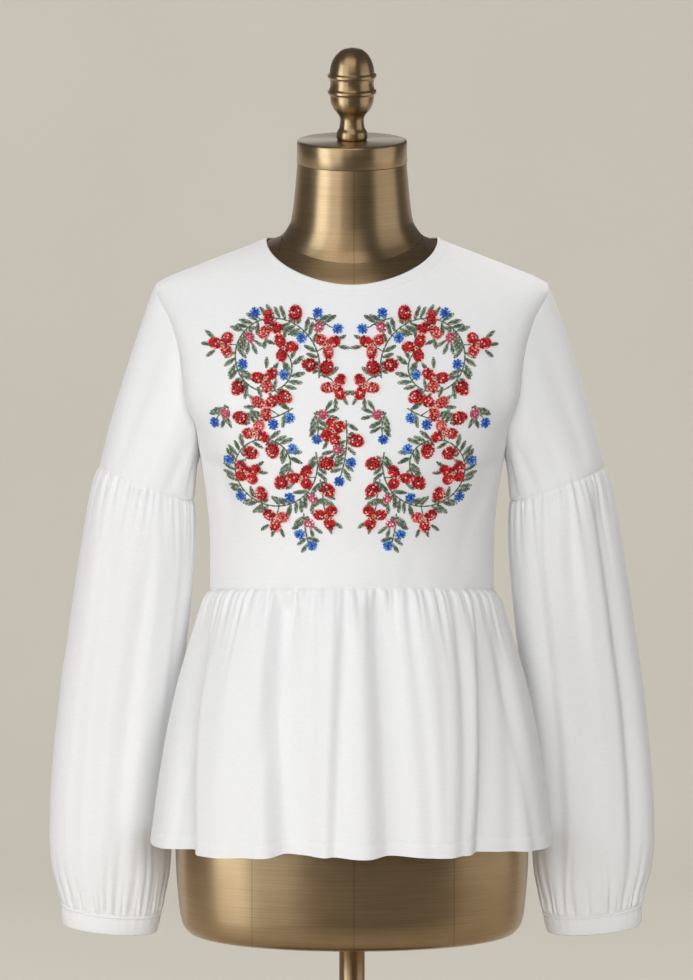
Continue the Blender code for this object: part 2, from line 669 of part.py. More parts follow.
def balloon_sleeve(name, side, seed, cover, parent):
    """The full lower sleeve, gathered into the upper sleeve at its top and into the cuff below."""
    places = gather_places(BALLOON_GATHERS, 0, 360, seed)
    degrees = gather_columns(places, 0, 360, True)
    top, low = BALLOON[0].height, BALLOON[-1].height
    heights = top + (low - top) * np.array(BALLOON_ROWS)
    grid = ring_points(BALLOON, side, degrees, heights)
    middle = grid.mean(axis=1, keepdims=True)
    normals = outward_normals(grid, True, middle)
    share = np.array(BALLOON_ROWS)[:, None] * np.ones(len(degrees))
    across = np.broadcast_to(degrees, share.shape)
    held = fading(share, GATHER_LENGTH) + fading(1 - share, CUFF_GATHER_LENGTH)
    small = BALLOON_GATHER_DEPTH * held * gathers(places, across, seed, 360)
    end = np.clip((1 - share) / BALLOON_FOLD_END, 0, 1)
    inward = small + long_folds(SLEEVE_FOLDS[side], across % 360, share) * end
    level = flattened(normals, (0, 0, 1))
    ends = ((0, ring_axis(BALLOON[0], side)), (-1, ring_axis(BALLOON[-1], side)))
    for row, axis in ends:
        level[row] = flattened(normals[row], axis)
    grid = grid - inward[..., None] * level
    normals = outward_normals(grid, True, middle)
    for row, axis in ends:
        normals[row] = flattened(normals[row], axis)
    inner = grid - CLOTH * normals
    for sheet in (grid, inner):
        for row, axis in ends:
            sheet[row] -= (1 + 2 * row) * axis * SEAM_GAP / 2
    return cloth_wall(name, grid, inner, True, cover, parent)


def cuff(name, side, cover, parent):
    degrees = np.linspace(0, 360, CUFF_COLUMNS, endpoint=False)
    grid = ring_points(CUFF, side, degrees, [ring.height for ring in CUFF])
    middle = grid.mean(axis=1, keepdims=True)
    normals = outward_normals(grid, True, middle)
    normals[0] = flattened(normals[0], ring_axis(CUFF[0], side))
    inner = grid - BAND_CLOTH * normals
    for sheet in (grid, inner):
        sheet[0] -= ring_axis(CUFF[0], side) * SEAM_GAP / 2
    return cloth_wall(name, grid, inner, True, cover, parent)


def form_rows(face):
    """Points of the form's front or back, from its underside up to the shoulder and the foot of the neck."""
    tip_x = FORM[-1].half_width
    neck = FORM_NECK_X * even_neck_shares(
        FORM_NECK_COLUMNS, face, FORM, FORM_NECK_X, FORM_NECK_DROP[face], FORM_DROP
    )
    shoulder = np.linspace(tip_x, FORM_NECK_X, FORM_SHOULDER_COLUMNS + 1)[:-1]
    top_x = np.concatenate([-shoulder, neck, shoulder[::-1]])
    top_turn = np.arcsin(np.clip(top_x / tip_x, -1, 1))
    low_turn = np.linspace(-math.pi / 2, math.pi / 2, len(top_x))
    on_shoulder = np.abs(top_x) >= FORM_NECK_X - 1e-9
    neck_z = neckline_z(top_x, face, 0.0, FORM_NECK_X, FORM_NECK_DROP[face])
    top_z = np.where(on_shoulder, shoulder_z(top_x), neck_z) - FORM_DROP
    tip_z = float(top_z[0])
    start = FORM_HIGH_ROWS[0]
    grid = []
    for side_z in FORM_LOW_ROWS + FORM_HIGH_ROWS[:-1] + (tip_z,):
        lift = max(0.0, (side_z - start) / (tip_z - start))
        turn = (1 - lift) * low_turn + lift * top_turn
        x = column(FORM, "half_width", side_z) * np.sin(turn)
        z = side_z + lift * (top_z - tip_z)
        y = body_y(FORM, x, z, face, FORM_DROP)
        if side_z == tip_z:
            y = np.where(on_shoulder, SHOULDER_Y, neck_foot_y(x, face))
        grid.append(np.stack([x, y, z], axis=1))
    return np.array(grid)


def neck_foot_y(x, face):
    """Depth of the foot of the form's neck, an oval."""
    return SHOULDER_Y + face * FORM_NECK_DEPTH[face] * np.sqrt(np.clip(1 - (x / FORM_NECK_X) ** 2, 0, 1))


def form_torso(cover, parent):
    """The dress form: torso, armhole plates and neck in one smooth shell, filled solid."""
    shape = bmesh.new()
    known = {}

    def vertex(point):
        place = tuple(round(float(v), 6) for v in point)
        if place not in known:
            known[place] = shape.verts.new(point)
        return known[place]

    def strip(lower, upper):
        for c in range(len(lower) - 1):
            corners = []
            for corner in (lower[c], lower[c + 1], upper[c + 1], upper[c]):
                if corner not in corners:
                    corners.append(corner)
            if len(corners) > 2:
                shape.faces.new(corners)

    sheets = {}
    for face in (-1, 1):
        sheets[face] = [[vertex(p) for p in row] for row in form_rows(face)]
        for lower, upper in zip(sheets[face], sheets[face][1:]):
            strip(lower, upper)
    neck_from = FORM_SHOULDER_COLUMNS
    neck_to = neck_from + FORM_NECK_COLUMNS
    foot = sheets[-1][-1][neck_from : neck_to + 1] + sheets[1][-1][neck_from:neck_to][::-1][:-1]
    foot_points = np.array([v.co[:] for v in foot])
    angle = np.arctan2(foot_points[:, 1] - NECK_CENTRE_Y, foot_points[:, 0])
    previous = foot + foot[:1]
    for ring in NECK_RINGS:
        round_x = ring.radius * np.cos(angle)
        round_y = NECK_CENTRE_Y + ring.radius * np.sin(angle)
        round_ring = np.stack([round_x, round_y, np.full(len(angle), ring.height)], axis=1)
        points = ring.blend * round_ring + (1 - ring.blend) * foot_points
        verts = [vertex(p) for p in points]
        strip(previous, verts + verts[:1])
        previous = verts + verts[:1]
    shape.faces.new(previous[:-1])
    shape.faces.new(sheets[-1][0] + sheets[1][0][::-1][1:-1])
    for c in (0, -1):
        rim = [row[c] for row in sheets[-1]] + [row[c] for row in sheets[1]][::-1]
        loop = []
        for v in rim:
            if v not in loop and (len(v.link_edges) == 0 or any(e.is_boundary for e in v.link_edges)):
                loop.append(v)
        shape.faces.new(loop)
    bmesh.ops.recalc_face_normals(shape, faces=shape.faces)
    made = bpy.data.meshes.new("form_torso")
    shape.to_mesh(made)
    shape.free()
    made.shade_smooth()
    made.set_sharp_from_angle(angle=math.radians(50))
    return new_object("form_torso", made, cover, parent)


def turned(name, profile, steps, cover, parent, lift=0.0):
    """A round piece: a profile of (radius, height), outer side and top to bottom, turned about Z."""
    shape = bmesh.new()
    verts = [shape.verts.new((radius, 0, height + lift)) for radius, height in profile]
    for upper, lower in zip(verts, verts[1:]):
        shape.edges.new((upper, lower))
    made = bpy.data.meshes.new(name)
    shape.to_mesh(made)
    shape.free()
    piece = new_object(name, made, cover, parent)
    screw = piece.modifiers.new("turn", "SCREW")
    screw.steps = steps
    screw.render_steps = steps
    screw.use_merge_vertices = True
    screw.merge_threshold = 0.00001
    screw.use_smooth_shade = True
    return piece


def pole_profile():
    top = UNDERSIDE_Z - SEAM_GAP
    low = BOSS_TOP_Z + SEAM_GAP
    return (Turn(0.0, top), Turn(POLE_RADIUS, top), Turn(POLE_RADIUS, low), Turn(0.0, low))


def empty(name, location, parent=None):
    made = bpy.data.objects.new(name, None)
    made.location = location
    made.parent = parent
    bpy.context.scene.collection.objects.link(made)
    return made


def main():
    clear_scene()
    jersey = material("white_jersey", JERSEY_WHITE, 0.85, 0.0)
    brass = material("antique_brass", ANTIQUE_BRASS, 0.38, 1.0)
    floor = empty("floor_centre", (0, 0, 0))
    body = empty("torso_underside", (0, 0, UNDERSIDE_Z), floor)
    neck_axis = empty("neck_axis", (0, NECK_CENTRE_Y, 0), body)

    turned("stand_foot", FOOT_PROFILE, FOOT_STEPS, brass, floor)
    turned("stand_pole", pole_profile(), POLE_STEPS, brass, floor)
    form_torso(brass, body)
    turned("neck_cap", CAP_PROFILE, CAP_STEPS, brass, neck_axis)
    turned("finial", FINIAL_PROFILE, FINIAL_STEPS, brass, neck_axis, FINIAL_Z)

    bodice_panel("bodice_front", -1, jersey, body)
    bodice_panel("bodice_back", 1, jersey, body)
    neckband(jersey, body)
    peplum_panel("peplum_front", -1, FRONT_FOLDS, PEPLUM_SEED[-1], jersey, body)
    peplum_panel("peplum_back", 1, BACK_FOLDS, PEPLUM_SEED[1], jersey, body)
    for word, side in (("right", -1), ("left", 1)):
        upper_sleeve("upper_sleeve_" + word, side, jersey, body)
        balloon_sleeve("balloon_sleeve_" + word, side, SLEEVE_SEED[side], jersey, body)
        cuff("cuff_" + word, side, jersey, body)


main()
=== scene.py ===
"""Looks of the knit top on its dress form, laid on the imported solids.

Metres, +Z up, the front faces -Y. Heights in the tables are measured from the underside of the form's
torso, which UNDERSIDE_Z lifts above the floor. Left and right are the wearer's, so the left sleeve is on the
+X side.
"""

import math
from collections import namedtuple

import bmesh
import bpy
import numpy as np
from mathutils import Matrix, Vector


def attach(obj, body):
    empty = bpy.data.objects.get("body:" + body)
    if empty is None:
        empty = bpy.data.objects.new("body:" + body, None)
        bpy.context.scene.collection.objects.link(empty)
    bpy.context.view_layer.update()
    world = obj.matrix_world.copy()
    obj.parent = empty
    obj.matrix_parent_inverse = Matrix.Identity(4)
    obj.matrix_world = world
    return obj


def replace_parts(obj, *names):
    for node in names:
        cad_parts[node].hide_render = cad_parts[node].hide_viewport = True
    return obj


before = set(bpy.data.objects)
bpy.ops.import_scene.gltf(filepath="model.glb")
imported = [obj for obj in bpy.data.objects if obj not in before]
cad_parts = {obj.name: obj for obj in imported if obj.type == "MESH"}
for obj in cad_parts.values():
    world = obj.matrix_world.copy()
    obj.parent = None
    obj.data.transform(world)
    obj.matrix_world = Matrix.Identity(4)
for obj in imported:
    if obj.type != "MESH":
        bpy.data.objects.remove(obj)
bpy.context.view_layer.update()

# Driving dimensions, the same as the solids'
UNDERSIDE_Z = 0.240
CLOTH = 0.0013
SEAM_LAP = 0.0003
SHOULDER_Y = 0.004
SHOULDER_NECK_X = 0.0855
SHOULDER_NECK_Z = 0.7060
SHOULDER_SLOPE = 0.386
NECK_RIDGE_ROUND = 0.040
SHOULDER_ROUND = 0.130
SHOULDER_POWER = 0.46
SIDE_ROUNDNESS = 0.92
NECK_DROP = {-1: 0.0322, 1: 0.012}
NECK_CURVE = 1.8
NECK_SHARP = 0.64
NECK_SPREAD = {-1: 0.55, 1: 0.30}
BAND_WIDTH = 0.009
WAIST_SIDE_Z = 0.350
WAIST_TILT = {-1: 0.200, 1: -0.050}
HEM_SIDE_Z = 0.098
HEM_RISE = {-1: 0.006, 1: 0.002}
SHOULDER_TIP_X = 0.1965
ARMPIT_Z = 0.485
ARMPIT_SHARE = 0.434

# Sections of the body and of the form: half width, reach to the front and back, and how far each edge
# reaches
Body = namedtuple("Body", "height half_width front back front_edge back_edge", defaults=(0.0, 0.0))
BODICE = (
    Body(0.340, 0.1420, 0.116, 0.080),
    Body(0.405, 0.1425, 0.118, 0.080),
    Body(0.450, 0.1465, 0.128, 0.086),
    Body(0.485, 0.1520, 0.136, 0.092),
    Body(0.500, 0.1535, 0.137, 0.094, 0.020, 0.020),
    Body(0.520, 0.1555, 0.136, 0.097, 0.036, 0.036),
    Body(0.541, 0.1630, 0.132, 0.099, 0.047, 0.050),
    Body(0.560, 0.1680, 0.127, 0.100, 0.052, 0.058),
    Body(0.586, 0.1706, 0.121, 0.101, 0.055, 0.063),
    Body(0.606, 0.1738, 0.116, 0.101, 0.055, 0.064),
    Body(0.631, 0.1818, 0.111, 0.100, 0.052, 0.060),
    Body(0.661, 0.1965, 0.107, 0.098, 0.046, 0.052),
    Body(0.712, 0.1965, 0.104, 0.095, 0.046, 0.052),
)
FORM = (
    Body(0.000, 0.1500, 0.093, 0.080),
    Body(0.004, 0.1630, 0.105, 0.092),
    Body(0.014, 0.1705, 0.110, 0.096),
    Body(0.030, 0.1735, 0.112, 0.098),
    Body(0.085, 0.1770, 0.113, 0.099),
    Body(0.130, 0.1720, 0.111, 0.096),
    Body(0.200, 0.1530, 0.106, 0.085),
    Body(0.270, 0.1320, 0.101, 0.076),
    Body(0.335, 0.1215, 0.098, 0.070),
    Body(0.400, 0.1250, 0.104, 0.073),
    Body(0.450, 0.1330, 0.122, 0.080),
    Body(0.475, 0.1370, 0.129, 0.085),
    Body(0.500, 0.1410, 0.132, 0.0885, 0.022, 0.022),
    Body(0.520, 0.1440, 0.131, 0.0915, 0.033, 0.035),
    Body(0.541, 0.1500, 0.127, 0.0935, 0.041, 0.045),
    Body(0.560, 0.1550, 0.122, 0.0945, 0.046, 0.052),
    Body(0.586, 0.1590, 0.116, 0.0955, 0.049, 0.057),
    Body(0.606, 0.1620, 0.111, 0.0955, 0.049, 0.058),
    Body(0.631, 0.1680, 0.106, 0.0945, 0.046, 0.054),
    Body(0.656, 0.1765, 0.102, 0.0925, 0.041, 0.046),
    Body(0.712, 0.1765, 0.099, 0.0895, 0.041, 0.046),
)
FORM_DROP = 0.0020
FORM_TURN_Z = 0.475
FORM_NECK_X = 0.066
FORM_NECK_DROP = {-1: 0.0195, 1: 0.004}
FORM_NECK_DEPTH = {-1: 0.064, 1: 0.060}

# Loops of the neck: height, radius, and how far each is a circle and no longer the shape of the neck's foot
Neck = namedtuple("Neck", "height radius blend")
NECK_RINGS = (
    Neck(0.7172, 0.0620, 0.35),
    Neck(0.7240, 0.0602, 1.00),
    Neck(0.7530, 0.0572, 1.00),
    Neck(0.7826, 0.0546, 1.00),
)
NECK_CENTRE_Y = 0.006

# Sections of the peplum: share of the way down it, half width, reach to the front and back, and middle
Skirt = namedtuple("Skirt", "share half_width front back middle_y")
PEPLUM = (
    Skirt(0.00, 0.1432, 0.1170, 0.0810, 0.004),
    Skirt(0.03, 0.1490, 0.1220, 0.0845, 0.004),
    Skirt(0.08, 0.1535, 0.1265, 0.0880, 0.003),
    Skirt(0.18, 0.1612, 0.1315, 0.0960, 0.002),
    Skirt(0.36, 0.1745, 0.1360, 0.1110, -0.001),
    Skirt(0.60, 0.1875, 0.1395, 0.1270, -0.004),
    Skirt(0.82, 0.1962, 0.1415, 0.1370, -0.006),
    Skirt(1.00, 0.2020, 0.1425, 0.1420, -0.008),
)
PEPLUM_SEED = {-1: 1.0, 1: 2.0}
SIDE_SEAM_CALM = 5
HEM_LIFT = 0.20

# Gathers at a seam: how many, how deep, the share of the cloth's length that they reach along, and what is
# added to the seed of their uneven places
Gather = namedtuple("Gather", "count depth length seed_step")
PEPLUM_GATHERS = (Gather(28, 0.0040, 0.125, 0), Gather(44, 0.0027, 0.080, 3))
SLEEVE_GATHERS = (Gather(24, 0.0028, 0.100, 0), Gather(44, 0.0027, 0.040, 3))
GATHER_FADE = 1.5
GATHER_WANDER = 0.30
GATHER_UNEVEN = 0.40
GATHER_SPREAD = 0.60
GATHER_SLANT = 7.0
SLANT_WAVES = 4
SLANT_REACH = 0.25
TROUGH_SHARPNESS = 2.2
RIDGE_HEIGHT = 0.4
HELD_SHARE = 0.25
HELD_REACH = 0.007
WAIST_HOLD = 0.006
FOLD_START = 0.12

# Long folds: place across in degrees at the seam and at the hem, depth at the hem, half width in degrees on
# each side, and the share of the length at which the fold has opened
Fold = namedtuple("Fold", "top bottom depth left right opens")
PEPLUM_FOLDS = {
    -1: (
        Fold(-70, -55, 0.0140, 12, 3, 0.4),
        Fold(-46, -42, -0.0030, 6, 6, 0.5),
        Fold(-30, -20, 0.0170, 3.5, 11, 0.1),
        Fold(-3, -5, 0.0060, 2, 5, 0.2),
        Fold(9, 11, 0.0130, 4, 9, 0.1),
        Fold(44, 34, 0.0060, 3, 4, 0.3),
        Fold(56, 41, 0.0155, 3.4, 12, 0.5),
        Fold(70, 55, 0.0050, 5, 5, 0.4),
    ),
    1: (
        Fold(-66, -65, 0.0090, 9, 9, 0.4),
        Fold(-40, -35, 0.0130, 9, 5, 0.2),
        Fold(-15, -18, 0.0050, 5, 6, 0.4),
        Fold(2, 4, 0.0110, 6, 9, 0.4),
        Fold(22, 21, 0.0050, 5, 5, 0.4),
        Fold(43, 38, 0.0120, 4, 10, 0.2),
        Fold(66, 65, 0.0090, 9, 9, 0.4),
    ),
}

# Rings of a sleeve: height of the middle, how much higher the outer side and the back are, and the middle
# and half size across and from front to back
Ring = namedtuple("Ring", "height rise pitch centre_x half_width centre_y half_depth")
BALLOON = (
    Ring(0.4575, 0.0168, -0.0030, 0.2055, 0.0470, 0.014, 0.0500),
    Ring(0.4460, 0.0165, -0.0025, 0.2075, 0.0498, 0.016, 0.0520),
    Ring(0.4280, 0.0150, -0.0010, 0.2097, 0.0528, 0.018, 0.0535),
    Ring(0.3950, 0.0100, 0.0000, 0.2132, 0.0562, 0.023, 0.0540),
    Ring(0.3450, 0.0050, 0.0000, 0.2192, 0.0588, 0.031, 0.0520),
    Ring(0.2950, 0.0030, 0.0000, 0.2252, 0.0600, 0.040, 0.0490),
    Ring(0.2400, 0.0020, 0.0000, 0.2320, 0.0612, 0.050, 0.0460),
    Ring(0.1850, 0.0010, 0.0000, 0.2375, 0.0616, 0.059, 0.0435),
    Ring(0.1300, 0.0000, 0.0000, 0.2412, 0.0622, 0.065, 0.0420),
    Ring(0.0850, 0.0000, 0.0005, 0.2425, 0.0618, 0.068, 0.0405),
    Ring(0.0550, 0.0010, 0.0020, 0.2422, 0.0592, 0.069, 0.0370),
    Ring(0.0320, 0.0035, 0.0035, 0.2420, 0.0535, 0.069, 0.0330),
    Ring(0.0165, 0.0046, 0.0045, 0.2420, 0.0500, 0.069, 0.0290),
)
CUFF = (
    Ring(0.0165, 0.0046, 0.0045, 0.2420, 0.0500, 0.069, 0.0290),
    Ring(0.0060, 0.0043, 0.0038, 0.2430, 0.0488, 0.069, 0.0288),
    Ring(-0.0050, 0.0040, 0.0030, 0.2440, 0.0474, 0.069, 0.0282),
)

# The sleeves: where the balloon's folds end, and the ways in which the upper sleeve leaves its two seams
SLEEVE_SEED = {-1: 2.0, 1: 4.0}
BALLOON_FOLD_END = 0.25
ARMHOLE_HANDLE = (0.31, 0.0, -0.95)
SEAM_HANDLE = (0.20, 0.05, -0.98)
SLEEVE_FOLDS = {
    -1: (
        Fold(58, 62, 0.0060, 9, 14, 0.2),
        Fold(102, 98, 0.0060, 14, 8, 0.3),
        Fold(148, 146, 0.0040, 10, 10, 0.3),
        Fold(238, 240, 0.0050, 14, 14, 0.3),
        Fold(300, 296, 0.0045, 14, 14, 0.3),
        Fold(80, 66, 0.0020, 11, 15, 0.2),
        Fold(124, 138, 0.0022, 13, 9, 0.3),
        Fold(200, 190, 0.0024, 13, 13, 0.3),
        Fold(268, 276, 0.0026, 13, 13, 0.3),
        Fold(334, 322, 0.0020, 13, 13, 0.3),
    ),
    1: (
        Fold(44, 50, 0.0070, 14, 7, 0.1),
        Fold(84, 88, 0.0065, 8, 13, 0.2),
        Fold(122, 124, 0.0050, 9, 9, 0.2),
        Fold(236, 238, 0.0050, 14, 14, 0.3),
        Fold(304, 300, 0.0045, 14, 14, 0.3),
        Fold(64, 76, 0.0022, 14, 10, 0.2),
        Fold(106, 98, 0.0020, 10, 13, 0.3),
        Fold(200, 210, 0.0024, 13, 13, 0.3),
        Fold(270, 262, 0.0026, 13, 13, 0.3),
        Fold(332, 322, 0.0020, 13, 13, 0.3),
    ),
}

# Steps of the fine cloth grids
SIDE_STEPS = 44
ARMHOLE_STEPS = 60
SHOULDER_STEPS = 12
NECK_STEPS = 56
PEPLUM_COLUMNS = 360
PEPLUM_STEPS = 56
BALLOON_COLUMNS = 236
BALLOON_STEPS = 78
CAP_STEPS = 52
CUFF_COLUMNS = 180
BAND_STEPS = 90
ROWS_NEAR_WAIST = (0.003, 0.006, 0.010, 0.014)
ROWS_NEAR_NECK = (0.9945, 0.9972)
ROWS_NEAR_HEM = (0.942, 0.946, 0.950)
CLOSE_ROWS = {"peplum": (0.012, 4), "upper_sleeve": (0.012, 3), "balloon": (0.010, 4)}
NECK_SAMPLES = 800
TOUCH = 1e-9
BODY_CENTRE = (0, SHOULDER_Y, 0.5)

# Seams: the cloth dips into each seam, and a turned hem stands a little proud
SEAM_DIP = 0.0008
PLAIN_DIP = 0.0003
SEAM_REACH = 0.0018
NECK_DIP = 0.0002
NECK_REACH = 0.0012
TIP_DROP = 0.0024
TIP_REACH = 0.012
TIP_LEAN = 0.5
HEM_DEPTH = 0.0145
HEM_PROUD = 0.00035
HEM_STEP = 0.002
HEM_GROOVE = 0.0005
GROOVE_REACH = 0.0011
SHARP_DEGREES = 55
STITCH = (0.0022, 0.0005, 0.0005)
STITCH_PITCH = 0.0028
NECK_STITCH = (0.0022, 0.0007, 0.0006)
NECK_STITCH_PITCH = 0.0026


def smooth_curve(xs, ys, at):
    """A cubic through the points of a table that never overshoots them."""
    xs = np.asarray(xs, float)
    ys = np.asarray(ys, float)
    at = np.clip(np.asarray(at, float), xs[0], xs[-1])
    step = np.diff(xs)
    slope = np.diff(ys) / step
    tangent = np.zeros(len(xs))
    same_way = slope[:-1] * slope[1:] > 0
    total = np.where(same_way, slope[:-1] + slope[1:], 1.0)
    tangent[1:-1] = np.where(same_way, 2 * slope[:-1] * slope[1:] / total, 0.0)
    tangent[0], tangent[-1] = slope[0], slope[-1]
    i = np.clip(np.searchsorted(xs, at, side="right") - 1, 0, len(step) - 1)
    t = (at - xs[i]) / step[i]
    return (
        ys[i] * (1 + 2 * t) * (1 - t) ** 2
        + step[i] * tangent[i] * t * (1 - t) ** 2
        + ys[i + 1] * t * t * (3 - 2 * t)
        + step[i] * tangent[i + 1] * t * t * (t - 1)
    )


def column(table, name, at, key="height"):
    """A named column of a table, read at values of its key column."""
    rows = sorted(table, key=lambda row: getattr(row, key))
    return smooth_curve([getattr(r, key) for r in rows], [getattr(r, name) for r in rows], at)


def shoulder_z(x):
    width = np.abs(x)
    bend = width**2 / (2 * NECK_RIDGE_ROUND) + NECK_RIDGE_ROUND / 2
    rounded = np.where(width < NECK_RIDGE_ROUND, bend, width)
    return SHOULDER_NECK_Z - SHOULDER_SLOPE * (rounded - SHOULDER_NECK_X)


def waist_z(y, face):
    return WAIST_SIDE_Z + WAIST_TILT[face] * face * (y - SHOULDER_Y)


def body_y(table, x, z, face, drop=0.0):
    """Depth of a body's front (face -1) or back (face 1) at a place across and up."""
    half = column(table, "half_width", z)
    inward = np.sqrt(np.clip(1 - (x / half) ** 2, 0, 1)) ** SIDE_ROUNDNESS
    side = "front" if face < 0 else "back"
    edge = column(table, side + "_edge", z)
    reach = edge + (column(table, side, z) - edge) * inward
    below = np.clip((shoulder_z(x) - drop - z) / SHOULDER_ROUND, 0, 1)
    return SHOULDER_Y + face * reach * (1 - (1 - below) ** 2) ** SHOULDER_POWER


def neckline_z(x, face, outset, half=SHOULDER_NECK_X, fall=None):
    """Height of a neck curve, moved outset metres out from the neck."""
    edge = half + outset
    deep = (NECK_DROP[face] if fall is None else fall) + outset * NECK_SPREAD[face]
    share = np.clip(np.abs(x) / edge, 0, 1)
    return shoulder_z(edge) - deep * (1 - share**NECK_CURVE) ** NECK_SHARP


def even_neck_shares(count, face, table, half, fall, drop=0.0):
    """Places across a neckline, from -1 to 1, that part it into stretches of one length."""
    turn = np.linspace(-math.pi / 2, math.pi / 2, NECK_SAMPLES)
    x = half * np.sin(turn)
    z = neckline_z(x, face, 0.0, half, fall) - drop
    z[[0, -1]] = shoulder_z(half) - drop
    gone = travelled(np.stack([x, body_y(table, x, z, face, drop), z], axis=1))
    places = np.interp(np.linspace(0, gone[-1], count + 1), gone, x / half)
    places[[0, -1]] = -1.0, 1.0
    return places


def top_edge(table, face, tip_x, half, fall, drop=0.0):
    """Places across a panel's top edge, their turns there and at its foot, and which lie on the shoulder."""
    neck = half * even_neck_shares(NECK_STEPS, face, table, half, fall, drop)
    shoulder = np.linspace(tip_x, half, SHOULDER_STEPS + 1)[:-1]
    top_x = np.concatenate([-shoulder, neck, shoulder[::-1]])
    top_turn = np.arcsin(np.clip(top_x / tip_x, -1, 1))
    low_turn = np.linspace(-math.pi / 2, math.pi / 2, len(top_x))
    return top_x, top_turn, low_turn, np.abs(top_x) >= half - TOUCH


def unit(vectors):
    return vectors / np.maximum(np.linalg.norm(vectors, axis=-1, keepdims=True), 1e-12)


def vertex_normals(grid, closed):
    """Unit normals of a grid of points, each the mean of the squares round it."""
    wrapped = np.concatenate([grid, grid[:, :1]], axis=1) if closed else grid
    square = unit(np.cross(wrapped[1:, 1:] - wrapped[:-1, :-1], wrapped[1:, :-1] - wrapped[:-1, 1:]))
    rows, columns = square.shape[:2]
    total = np.zeros(wrapped.shape)
    for down in (0, 1):
        for along in (0, 1):
            total[down : down + rows, along : along + columns] += square
    if closed:
        total[:, 0] += total[:, -1]
        total = total[:, :-1]
    return unit(total)


def flattened(normals, axis):
    """Normals with their part along an axis taken out, so that a rim lies square to that axis."""
    axis = unit(np.asarray(axis, float))
    return unit(normals - (normals @ axis)[..., None] * axis)


def outward_normals(grid, closed, centre=BODY_CENTRE):
    """Vertex normals of a grid, turned to point away from a centre."""
    normals = vertex_normals(grid, closed)
    return normals * np.sign(np.sum((grid - centre) * normals))


def bell(distance, spread):
    return np.exp(-((distance / spread) ** 2))


def ease(share):
    share = np.clip(share, 0, 1)
    return share * share * (3 - 2 * share)


def wander(count, seed):
    """Uneven but repeatable offsets between -1 and 1."""
    index = np.arange(count)
    return np.sin(index * 2.399 + seed) * 0.6 + np.sin(index * 4.1 + 2.3 * seed) * 0.4


def travelled(points):
    """Distance gone along a line of points, up to each of them."""
    return np.concatenate([[0], np.cumsum(np.linalg.norm(np.diff(points, axis=0), axis=1))])


def down_columns(grid):
    """Distance gone down each column of a grid."""
    return np.stack([travelled(grid[:, c]) for c in range(grid.shape[1])], axis=1)


def from_sides(grid):
    """Distance from each point of a grid to the nearer side edge."""
    across = np.stack([travelled(row) for row in grid])
    return np.minimum(across, across[:, -1:] - across)


# Building of meshes


def new_piece(name, mesh_data, cover):
    made = bpy.data.objects.new(name, mesh_data)
    mesh_data.materials.append(cover)
    bpy.context.scene.collection.objects.link(made)
    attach(made, "root")
    return made


def grid_faces(rows, columns, closed, first=0, turned=False):
    r, c = np.meshgrid(np.arange(rows - 1), np.arange(columns - (not closed)), indexing="ij")
    d = (c + 1) % columns
    low = r * columns + first
    high = low + columns
    corners = np.stack([low + c, low + d, high + d, high + c], axis=2).reshape(-1, 4)
    return corners[:, ::-1] if turned else corners


def strip_faces(upper, lower, closed):
    i = np.arange(len(upper) - (not closed))
    j = (i + 1) % len(upper)
    return np.stack([upper[i], lower[i], lower[j], upper[j]], axis=1)


def even_places(u, v):
    """UV places in metres of cloth, from distances along a grid's rows and down its columns."""
    return np.stack(np.broadcast_arrays(u[None, :], v[:, None]), axis=2).reshape(-1, 2)


def filled_mesh(name, points, faces, places):
    """A mesh of four-sided faces, with UV places in metres of cloth."""
    made = bpy.data.meshes.new(name)
    made.from_pydata((points + np.array([0, 0, UNDERSIDE_Z])).tolist(), [], faces.tolist())
    corner = np.zeros(len(made.loops), np.int32)
    made.loops.foreach_get("vertex_index", corner)
    layer = made.uv_layers.new(name="cloth")
    layer.data.foreach_set("uv", places[corner].astype(np.float32).ravel())
    shape = bmesh.new()
    shape.from_mesh(made)
    bmesh.ops.recalc_face_normals(shape, faces=shape.faces)
    shape.to_mesh(made)
    shape.free()
    made.shade_smooth()
    made.set_sharp_from_angle(angle=math.radians(SHARP_DEGREES))
    return made


def cloth_shell(node, outer, normals, closed, cover):
    """A thin shell for a node: the outer grid, an inner one under it, and rims that join them."""
    rows, columns = outer.shape[:2]
    inner = outer - CLOTH * normals
    points = np.concatenate([outer.reshape(-1, 3), inner.reshape(-1, 3)])
    index = np.arange(rows * columns).reshape(rows, columns)
    under = index + rows * columns
    faces = [
        grid_faces(rows, columns, closed),
        grid_faces(rows, columns, closed, rows * columns, True),
        strip_faces(index[0], under[0], closed),
        strip_faces(under[-1], index[-1], closed),
    ]
    if not closed:
        faces.append(strip_faces(under[:, 0], index[:, 0], False))
        faces.append(strip_faces(index[:, -1], under[:, -1], False))
    middle = outer.mean(axis=1) if closed else outer[:, columns // 2]
    places = even_places(travelled(outer[rows // 2]), travelled(middle))
    name = node + "_cloth"
    made = filled_mesh(name, points, np.concatenate(faces), np.concatenate([places, places]))
    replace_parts(new_piece(name, made, cover), node)


def band_shell(node, name, section, cover):
    """A closed band for a node, from the loops of points that go round its section."""
    loops, steps = section.shape[:2]
    index = np.arange(loops * steps).reshape(loops, steps)
    faces = np.concatenate([grid_faces(loops, steps, True), strip_faces(index[-1], index[0], True)])
    places = even_places(travelled(section[0]), travelled(section[:, 0]))
    made = filled_mesh(node, section.reshape(-1, 3), faces, places)
    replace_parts(new_piece(name, made, cover), node)


def dipped(grid, normals, distance, depth=SEAM_DIP, reach=SEAM_REACH):
    """A grid taken inward beside a seam."""
    return grid - (depth * bell(distance, reach))[..., None] * normals


